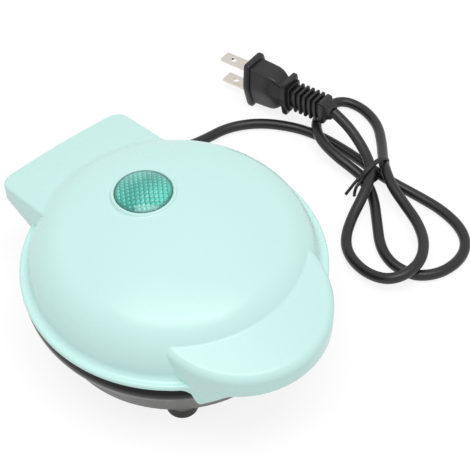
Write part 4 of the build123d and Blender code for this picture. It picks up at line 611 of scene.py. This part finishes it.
def make_blade(name, side):
    """A flat blade: from the hole's edge out to a rounded outline, over the edge and back.

    The lower half of the section is the upper half with its heights turned round."""
    turn = np.linspace(0, 2 * pi, BLADE_STEPS, endpoint=False)
    sides = [(0, BLADE_WIDTH / 2), (pi, BLADE_WIDTH / 2), (pi / 2, BLADE_LENGTH - BLADE_HOLE),
             (-pi / 2, BLADE_HOLE + BLADE_ROOT)]
    outline = rounded_radius(turn, sides, BLADE_POWER)
    half = BLADE_THICKNESS / 2
    upper = [(BLADE_HOLE_RADIUS, half - BLADE_HOLE_BEVEL), (BLADE_HOLE_RADIUS + BLADE_HOLE_BEVEL, half)]
    upper += [(outline - inset, half - drop) for inset, drop in ((0.35, 0), (0.08, 0.12), (0, 0.4))]
    section = upper + [(radius, -height) for radius, height in upper[::-1]]
    centre = plug_face - plug_axis * BLADE_HOLE + plug_up * side * BLADE_SPACING / 2
    grid = [centre + (radius * np.cos(turn))[:, None] * plug_side
            - (radius * np.sin(turn))[:, None] * plug_axis + height * plug_up
            for radius, height in section]
    return grid_piece(name, np.array(grid), "base", "nickel_blade", ring_rows=True)


def tie_route():
    """Two turns round the bundle, a rounded box in section, with both ends bent off on its left.

    The box is the line where the powers of across and up over their half sizes add up to one."""
    turn = np.linspace(TIE_START, TIE_START - TIE_TURNS * 2 * pi, 49)
    box = np.abs(np.cos(turn)) ** TIE_POWER + np.abs(np.sin(turn)) ** TIE_POWER
    radius = box ** (-1 / TIE_POWER)
    across = TIE_CENTRE[0] + TIE_HALF_SIZE[0] * radius * np.cos(turn)
    tall = TIE_CENTRE[1] + TIE_HALF_SIZE[1] * radius * np.sin(turn)
    along = np.linspace(-1.0, 0.9, turn.size)
    start = [(104.6, -2.6, 3.6), (105.4, -1.8, 6.6), (108.4, -1.3, 8.6)]
    end = [(108.0, 0.9, 7.2), (105.4, 1.2, 4.6), (103.6, 1.8, 1.9)]
    return start + list(zip(across, along, tall)) + end


def new_group(name, inputs, outputs):
    """A shader node group with its named sockets and its two end nodes."""
    group = bpy.data.node_groups.new(name, "ShaderNodeTree")
    for label, kind, value in inputs:
        socket = group.interface.new_socket(label, in_out="INPUT", socket_type="NodeSocket" + kind)
        if value is not None:
            socket.default_value = value
    for label, kind in outputs:
        group.interface.new_socket(label, in_out="OUTPUT", socket_type="NodeSocket" + kind)
    return group, group.nodes.new("NodeGroupInput"), group.nodes.new("NodeGroupOutput")


def make_unevenness():
    """A slow, cloudy change between two values, as in gloss that has been handled."""
    group, inside, outside = new_group(
        "handled_surface",
        [("Vector", "Vector", None), ("Scale", "Float", 40.0), ("Low", "Float", 0.1),
         ("High", "Float", 0.2)],
        [("Value", "Float")])
    noise = group.nodes.new("ShaderNodeTexNoise")
    noise.inputs["Detail"].default_value = 4.0
    spread = group.nodes.new("ShaderNodeMapRange")
    spread.inputs["From Min"].default_value = 0.3
    spread.inputs["From Max"].default_value = 0.7
    link = group.links.new
    link(inside.outputs["Vector"], noise.inputs["Vector"])
    link(inside.outputs["Scale"], noise.inputs["Scale"])
    link(noise.outputs["Fac"], spread.inputs["Value"])
    link(inside.outputs["Low"], spread.inputs["To Min"])
    link(inside.outputs["High"], spread.inputs["To Max"])
    link(spread.outputs["Result"], outside.inputs["Value"])
    return group


def make_relief():
    """Fine relief: a broad swell and a fine grain blended by a share, for Bump."""
    group, inside, outside = new_group(
        "moulded_relief",
        [("Vector", "Vector", None), ("Grain", "Float", 900.0), ("Swell", "Float", 60.0),
         ("Share", "Float", 0.5)],
        [("Height", "Float")])
    grain = group.nodes.new("ShaderNodeTexNoise")
    swell = group.nodes.new("ShaderNodeTexNoise")
    mix = group.nodes.new("ShaderNodeMix")
    link = group.links.new
    link(inside.outputs["Vector"], grain.inputs["Vector"])
    link(inside.outputs["Vector"], swell.inputs["Vector"])
    link(inside.outputs["Grain"], grain.inputs["Scale"])
    link(inside.outputs["Swell"], swell.inputs["Scale"])
    link(inside.outputs["Share"], mix.inputs["Factor"])
    link(swell.outputs["Fac"], mix.inputs["A"])
    link(grain.outputs["Fac"], mix.inputs["B"])
    link(mix.outputs["Result"], outside.inputs["Height"])
    return group


def make_specks():
    """A mask of small scattered specks, as dust or the flecks in a coating."""
    group, inside, outside = new_group(
        "scattered_specks",
        [("Vector", "Vector", None), ("Scale", "Float", 900.0), ("Size", "Float", 0.2)],
        [("Mask", "Float")])
    cells = group.nodes.new("ShaderNodeTexVoronoi")
    near = group.nodes.new("ShaderNodeMath")
    near.operation = "LESS_THAN"
    link = group.links.new
    link(inside.outputs["Vector"], cells.inputs["Vector"])
    link(inside.outputs["Scale"], cells.inputs["Scale"])
    link(cells.outputs["Distance"], near.inputs[0])
    link(inside.outputs["Size"], near.inputs[1])
    link(near.outputs[0], outside.inputs["Mask"])
    return group


unevenness = make_unevenness()
relief = make_relief()
specks = make_specks()


class Finish:
    """A material with one Principled shader, read on Object coordinates."""

    def __init__(self, name, **sockets):
        """Makes the material and sets plain values on its shader."""
        self.material = bpy.data.materials.new(name)
        self.material.use_nodes = True
        self.tree = self.material.node_tree
        self.shader = self.tree.nodes["Principled BSDF"]
        for label, value in sockets.items():
            self.shader.inputs[label.replace("_", " ")].default_value = value
        self.place = self.tree.nodes.new("ShaderNodeTexCoord").outputs["Object"]

    def node(self, kind, **values):
        """A node with some of its input sockets set or linked by name."""
        made = self.tree.nodes.new(kind)
        for label, value in values.items():
            self.feed(value, made.inputs[label.replace("_", " ")])
        return made

    def feed(self, value, socket):
        """Links an output to a socket, or sets a plain value on it."""
        if isinstance(value, bpy.types.NodeSocket):
            self.tree.links.new(value, socket)
        else:
            socket.default_value = value

    def shared(self, group, **values):
        """One of the shared effects, with this material's own values."""
        made = self.tree.nodes.new("ShaderNodeGroup")
        made.node_tree = group
        for label, value in values.items():
            self.feed(value, made.inputs[label])
        if "Vector" not in values:
            self.feed(self.place, made.inputs["Vector"])
        return made.outputs[0]

    def math(self, operation, first, second=0.0):
        """One Math node on one or two values."""
        made = self.tree.nodes.new("ShaderNodeMath")
        made.operation = operation
        self.feed(first, made.inputs[0])
        self.feed(second, made.inputs[1])
        return made.outputs[0]

    def blend(self, share, first, second):
        """A colour between two colours."""
        made = self.tree.nodes.new("ShaderNodeMix")
        made.data_type = "RGBA"
        self.feed(share, made.inputs[0])
        self.feed(first, made.inputs[6])
        self.feed(second, made.inputs[7])
        return made.outputs[2]

    def set(self, **sockets):
        """Feeds the shader's own sockets."""
        for label, value in sockets.items():
            self.feed(value, self.shader.inputs[label.replace("_", " ")])

    def bump(self, height, distance):
        """A Bump node into the shader's Normal, with the relief's depth in millimetres."""
        made = self.tree.nodes.new("ShaderNodeBump")
        made.inputs["Distance"].default_value = distance * MM
        self.feed(height, made.inputs["Height"])
        self.feed(made.outputs["Normal"], self.shader.inputs["Normal"])


def mint_finish():
    """Glossy moulded mint: a trace of orange peel, and gloss that varies where it is handled."""
    look = Finish("mint_gloss", IOR=1.5, Specular_IOR_Level=0.45)
    cloud = look.shared(unevenness, Scale=18.0, Low=0.0, High=1.0)
    look.set(Base_Color=look.blend(cloud, MINT, MINT_CLOUD),
             Roughness=look.shared(unevenness, Scale=55.0, Low=0.24, High=0.31))
    look.bump(look.shared(relief, Grain=700.0, Swell=45.0, Share=0.12), 0.05)
    return look.material


def black_finish():
    """Black base: a glossy band above, and a finer satin bowl below it. Its colour holds painted light:
    near black on the band as painted shade under the lid's rim, and grey on the bowl as a painted
    reflection of the worktop.
    """
    look = Finish("black_base", IOR=1.5, Specular_IOR_Level=0.12)
    parts = look.node("ShaderNodeSeparateXYZ", Vector=look.place)
    band = look.math("GREATER_THAN", parts.outputs["Z"], BAND_HEIGHT * MM)
    gloss = look.shared(unevenness, Scale=50.0, Low=0.16, High=0.22)
    satin = look.shared(unevenness, Scale=60.0, Low=0.42, High=0.52)
    rough = look.node("ShaderNodeMix")
    look.feed(band, rough.inputs["Factor"])
    look.feed(satin, rough.inputs["A"])
    look.feed(gloss, rough.inputs["B"])
    # Colour: painted shade on the band, painted reflection of the worktop on the bowl
    look.set(Base_Color=look.blend(band, BOWL_PAINTED_REFLECTION, BAND_PAINTED_SHADE),
             Roughness=rough.outputs["Result"])
    look.bump(look.shared(relief, Grain=1800.0, Swell=80.0, Share=0.5), 0.02)
    return look.material


def lens_finish():
    """Tinted lens: small pyramids behind a smooth clear face, with painted shade in its colour: a tone
    for each face of a pyramid, dark grooves and dots between them, and a darker ring round the edge.
    """
    look = Finish("green_lens", IOR=1.49, Coat_Weight=1.0, Coat_Roughness=0.03)
    flat = look.node("ShaderNodeMapping")
    flat.vector_type = "TEXTURE"
    look.feed(look.place, flat.inputs["Vector"])
    flat.inputs["Location"].default_value = [value * MM for value in lens_origin]
    flat.inputs["Rotation"].default_value = (-LENS_LEAN, 0, 0)
    turned_cells = look.node("ShaderNodeMapping", Vector=flat.outputs["Vector"])
    turned_cells.inputs["Rotation"].default_value = (0, 0, CELL_TURN)
    turned_cells.inputs["Scale"].default_value = [1 / (CELL * MM)] * 3
    parts = look.node("ShaderNodeSeparateXYZ", Vector=turned_cells.outputs["Vector"])
    across = look.math("SUBTRACT", look.math("FRACT", parts.outputs["X"]), 0.5)
    along = look.math("SUBTRACT", look.math("FRACT", parts.outputs["Y"]), 0.5)
    far = look.math("MAXIMUM", look.math("ABSOLUTE", across), look.math("ABSOLUTE", along))
    # Painted shade: the sign sums give each face of a pyramid its own tone, as light would fall on it,
    # and a random cloud is added
    slope = look.math("ADD", look.math("SIGN", look.math("ADD", across, along)),
                      look.math("SIGN", look.math("SUBTRACT", across, along)))
    cloud = look.shared(unevenness, Vector=flat.outputs["Vector"], Scale=70.0, Low=-0.25, High=1.1)
    painted_facet_shade_and_cloud = look.math("ADD", look.math("MULTIPLY", slope, 0.25), cloud)
    body = look.blend(look.math("MINIMUM", look.math("MAXIMUM", painted_facet_shade_and_cloud, 0), 1),
                      LENS_DEEP, LENS_BRIGHT)
    # Painted shade in the grooves between the pyramids, and darker dots where grooves cross
    groove_shade_mask = look.math("GREATER_THAN", far, CELL_GROOVE)
    with_groove_shade = look.blend(look.math("MULTIPLY", groove_shade_mask, 0.55), body, LENS_GROOVE_SHADE)
    corner = look.math("GREATER_THAN", look.math("MINIMUM", look.math("ABSOLUTE", across),
                                                 look.math("ABSOLUTE", along)), CELL_DOT)
    with_dot_shade = look.blend(look.math("MULTIPLY", corner, 0.6), with_groove_shade, LENS_DOT_SHADE)
    away = look.node("ShaderNodeVectorMath")
    away.operation = "LENGTH"
    look.feed(flat.outputs["Vector"], away.inputs[0])
    # Painted shade: a darker ring just inside the lens's edge
    edge = look.node("ShaderNodeMapRange", Value=away.outputs["Value"])
    edge.inputs["From Min"].default_value = (LENS_RADIUS - SHADE_INSIDE) * MM
    edge.inputs["From Max"].default_value = (LENS_RADIUS - SHADE_OUTSIDE) * MM
    look.set(Base_Color=look.blend(edge.outputs["Result"], with_dot_shade, LENS_EDGE_SHADE),
             Roughness=look.shared(unevenness, Scale=300.0, Low=0.2, High=0.35))
    look.bump(look.math("MULTIPLY", far, -1), 0.5)
    return look.material


def rubber_finish(name, tint, low, high):
    """Matt or semi-matt rubber: fine grain and a little dust in its gloss."""
    look = Finish(name, IOR=1.5)
    dust = look.shared(specks, Scale=1500.0, Size=0.12)
    lighter = tuple(min(1.0, value * 1.6) for value in tint[:3]) + (1.0,)
    look.set(Base_Color=look.blend(look.math("MULTIPLY", dust, 0.35), tint, lighter),
             Roughness=look.shared(unevenness, Scale=90.0, Low=low, High=high))
    look.bump(look.shared(relief, Grain=2600.0, Swell=160.0, Share=0.7), 0.03)
    return look.material


def metal_finish(name, tint, low, high, closeness):
    """Metal with fine marks, packed closer along one axis than along the others."""
    look = Finish(name, Metallic=1.0)
    packed = look.node("ShaderNodeMapping", Vector=look.place)
    packed.inputs["Scale"].default_value = closeness
    marks = look.shared(relief, Vector=packed.outputs["Vector"], Grain=1400.0, Swell=300.0,
                        Share=0.6)
    dark = tuple(value * 0.88 for value in tint[:3]) + (1.0,)
    look.set(Base_Color=look.blend(marks, dark, tint),
             Roughness=look.shared(unevenness, Vector=packed.outputs["Vector"], Scale=200.0,
                                   Low=low, High=high))
    look.bump(marks, 0.015)
    return look.material


def coated_finish():
    """Non-stick coating on cast aluminium: dark, satin, with fine flecks."""
    look = Finish("non_stick", IOR=1.5)
    flecks = look.shared(specks, Scale=1100.0, Size=0.16)
    look.set(Base_Color=look.blend(look.math("MULTIPLY", flecks, 0.5), COATING, COATING_FLECK),
             Roughness=look.shared(unevenness, Scale=120.0, Low=0.28, High=0.4))
    look.bump(look.shared(relief, Grain=1600.0, Swell=220.0, Share=0.6), 0.04)
    return look.material


def pale_finish(name, tint, grain):
    """Ceramic, resin or woven sleeve: pale, with a fine grain and small stains."""
    look = Finish(name, IOR=1.5)
    darker = tuple(value * 0.82 for value in tint[:3]) + (1.0,)
    look.set(Base_Color=look.blend(look.shared(unevenness, Scale=140.0, Low=0.0, High=1.0),
                                   tint, darker),
             Roughness=look.shared(unevenness, Scale=200.0, Low=0.45, High=0.65))
    look.bump(look.shared(relief, Grain=grain, Swell=200.0, Share=0.6), 0.05)
    return look.material


def lamp_finish():
    """A small clear lamp, warm inside."""
    look = Finish("lamp", IOR=1.5, Transmission_Weight=0.6)
    look.set(Base_Color=look.blend(look.shared(unevenness, Scale=500.0, Low=0.0, High=1.0),
                                   LAMP_PALE, LAMP_WARM),
             Roughness=look.shared(unevenness, Scale=300.0, Low=0.05, High=0.12))
    return look.material


finishes = {
    "lid_plastic": mint_finish(),
    "base_plastic": black_finish(),
    "lens_plastic": lens_finish(),
    "foot_rubber": rubber_finish("foot_rubber", FOOT_BLACK, 0.5, 0.65),
    "nonstick_plate": coated_finish(),
    "liner_metal": metal_finish("spun_aluminium", ALUMINIUM, 0.24, 0.4, (1, 6, 1)),
    "heater_sheath": metal_finish("heated_steel", HEATED_STEEL, 0.35, 0.5, (1, 1, 5)),
    "steel_screw": metal_finish("zinc_steel", ZINC, 0.22, 0.34, (1, 1, 4)),
    "ceramic_white": pale_finish("ceramic", CERAMIC, 900.0),
    "wire_sleeve": pale_finish("glass_sleeve", GLASS_SLEEVE, 2400.0),
    "lamp_glass": lamp_finish(),
    "cord_jacket": rubber_finish("cord_rubber", CORD_BLACK, 0.3, 0.4),
    "tie_wire": rubber_finish("tie_plastic", TIE_BLACK, 0.4, 0.5),
    "nickel_blade": metal_finish("warm_nickel", WARM_NICKEL, 0.2, 0.32, (6, 1, 1)),
}

# Pieces, and the nodes that they stand in for
dome = make_dome()
handle = make_handle()
ears = make_ears()
tab = make_tab()
bezel = make_bezel()
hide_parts("lid_cover")
lens = make_lens()
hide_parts("indicator_lens")

cord = curve_piece("mains_cord", CORD_ROUTE, CORD_DIAMETER, "base", "cord_jacket")
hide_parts("power_cord", "cord_hank")
tie = curve_piece("wire_tie", tie_route(), TIE_DIAMETER, "base", "tie_wire")
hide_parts("cord_tie")
plug = make_plug()
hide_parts("plug_body")
blades = [make_blade("plug_blade_upper", 1), make_blade("plug_blade_lower", -1)]
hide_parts("plug_blades")

# Every node and every piece wears its slot's finish
slot_of = {row["node"]: row["material_slot"] for row in frame["record"]["subparts"]}
for name, node in nodes.items():
    node.data.materials.clear()
    node.data.materials.append(finishes[slot_of[name]])
for piece in [dome, handle, tab, bezel, lens, cord, tie, plug, *ears, *blades]:
    piece.data.materials.append(finishes[piece["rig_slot"]])


def make_camera():
    """The camera at the photograph's angle: from the target, back along the line of sight."""
    data = bpy.data.cameras.new("camera")
    data.lens = VIEW_LENS
    data.sensor_width = SENSOR_WIDTH
    camera = bpy.data.objects.new("camera", data)
    bpy.context.scene.collection.objects.link(camera)
    back = Vector((sin(VIEW_AZIMUTH) * cos(VIEW_HEIGHT), -cos(VIEW_AZIMUTH) * cos(VIEW_HEIGHT),
                   sin(VIEW_HEIGHT)))
    camera.location = (Vector(VIEW_TARGET) + back * VIEW_DISTANCE) * MM
    camera.rotation_euler = back.to_track_quat("Z", "Y").to_euler()
    bpy.context.scene.camera = camera


def make_softbox():
    """One soft rectangular lamp that looks straight down, square to the camera."""
    data = bpy.data.lights.new("overhead_softbox", "AREA")
    data.shape = "RECTANGLE"
    data.size, data.size_y = (side * MM for side in SOFTBOX_SIZE)
    data.energy = SOFTBOX_POWER
    lamp = bpy.data.objects.new("overhead_softbox", data)
    bpy.context.scene.collection.objects.link(lamp)
    lamp.location = Vector(SOFTBOX_PLACE) * MM
    lamp.rotation_euler = (0, 0, VIEW_AZIMUTH)


def seen_share(tree):
    """1 where a ray comes from the camera, from gloss or through glass, and 0 for other light."""
    path = tree.nodes.new("ShaderNodeLightPath")
    seen = path.outputs["Is Camera Ray"]
    for label in ("Is Glossy Ray", "Is Transmission Ray"):
        larger = tree.nodes.new("ShaderNodeMath")
        larger.operation = "MAXIMUM"
        tree.links.new(seen, larger.inputs[0])
        tree.links.new(path.outputs[label], larger.inputs[1])
        seen = larger.outputs[0]
    return seen


def make_floor():
    """A plain pale worktop, shown white to the camera and in gloss, with the object's shadow."""
    reach = FLOOR_REACH * MM
    mesh = bpy.data.meshes.new("floor")
    mesh.from_pydata([(-reach, -reach, 0), (reach, -reach, 0), (reach, reach, 0),
                      (-reach, reach, 0)], [], [(0, 1, 2, 3)])
    floor = bpy.data.objects.new("floor", mesh)
    bpy.context.scene.collection.objects.link(floor)
    look = Finish("pale_floor", Roughness=0.9, Specular_IOR_Level=0.0)
    seen = seen_share(look.tree)
    look.set(Base_Color=look.blend(seen, FLOOR_LIT, FLOOR_SEEN))
    glow = look.tree.nodes.new("ShaderNodeEmission")
    look.feed(look.math("MULTIPLY", seen, FLOOR_GLOW), glow.inputs["Strength"])
    both = look.tree.nodes.new("ShaderNodeAddShader")
    look.feed(look.shader.outputs["BSDF"], both.inputs[0])
    look.feed(glow.outputs["Emission"], both.inputs[1])
    look.feed(both.outputs["Shader"], look.tree.nodes["Material Output"].inputs["Surface"])
    mesh.materials.append(look.material)


def make_surroundings():
    """A pale room: brighter where it is seen directly, in gloss or through glass than as light."""
    world = bpy.data.worlds.new("studio")
    world.use_nodes = True
    bpy.context.scene.world = world
    tree = world.node_tree
    background = tree.nodes["Background"]
    background.inputs["Color"].default_value = (1, 1, 1, 1)
    strength = tree.nodes.new("ShaderNodeMapRange")
    strength.inputs["To Min"].default_value = ROOM_LIGHT
    strength.inputs["To Max"].default_value = ROOM_SEEN
    tree.links.new(seen_share(tree), strength.inputs["Value"])
    tree.links.new(strength.outputs["Result"], background.inputs["Strength"])


make_camera()
make_softbox()
make_floor()
make_surroundings()
bpy.context.scene.view_settings.view_transform = "Standard"
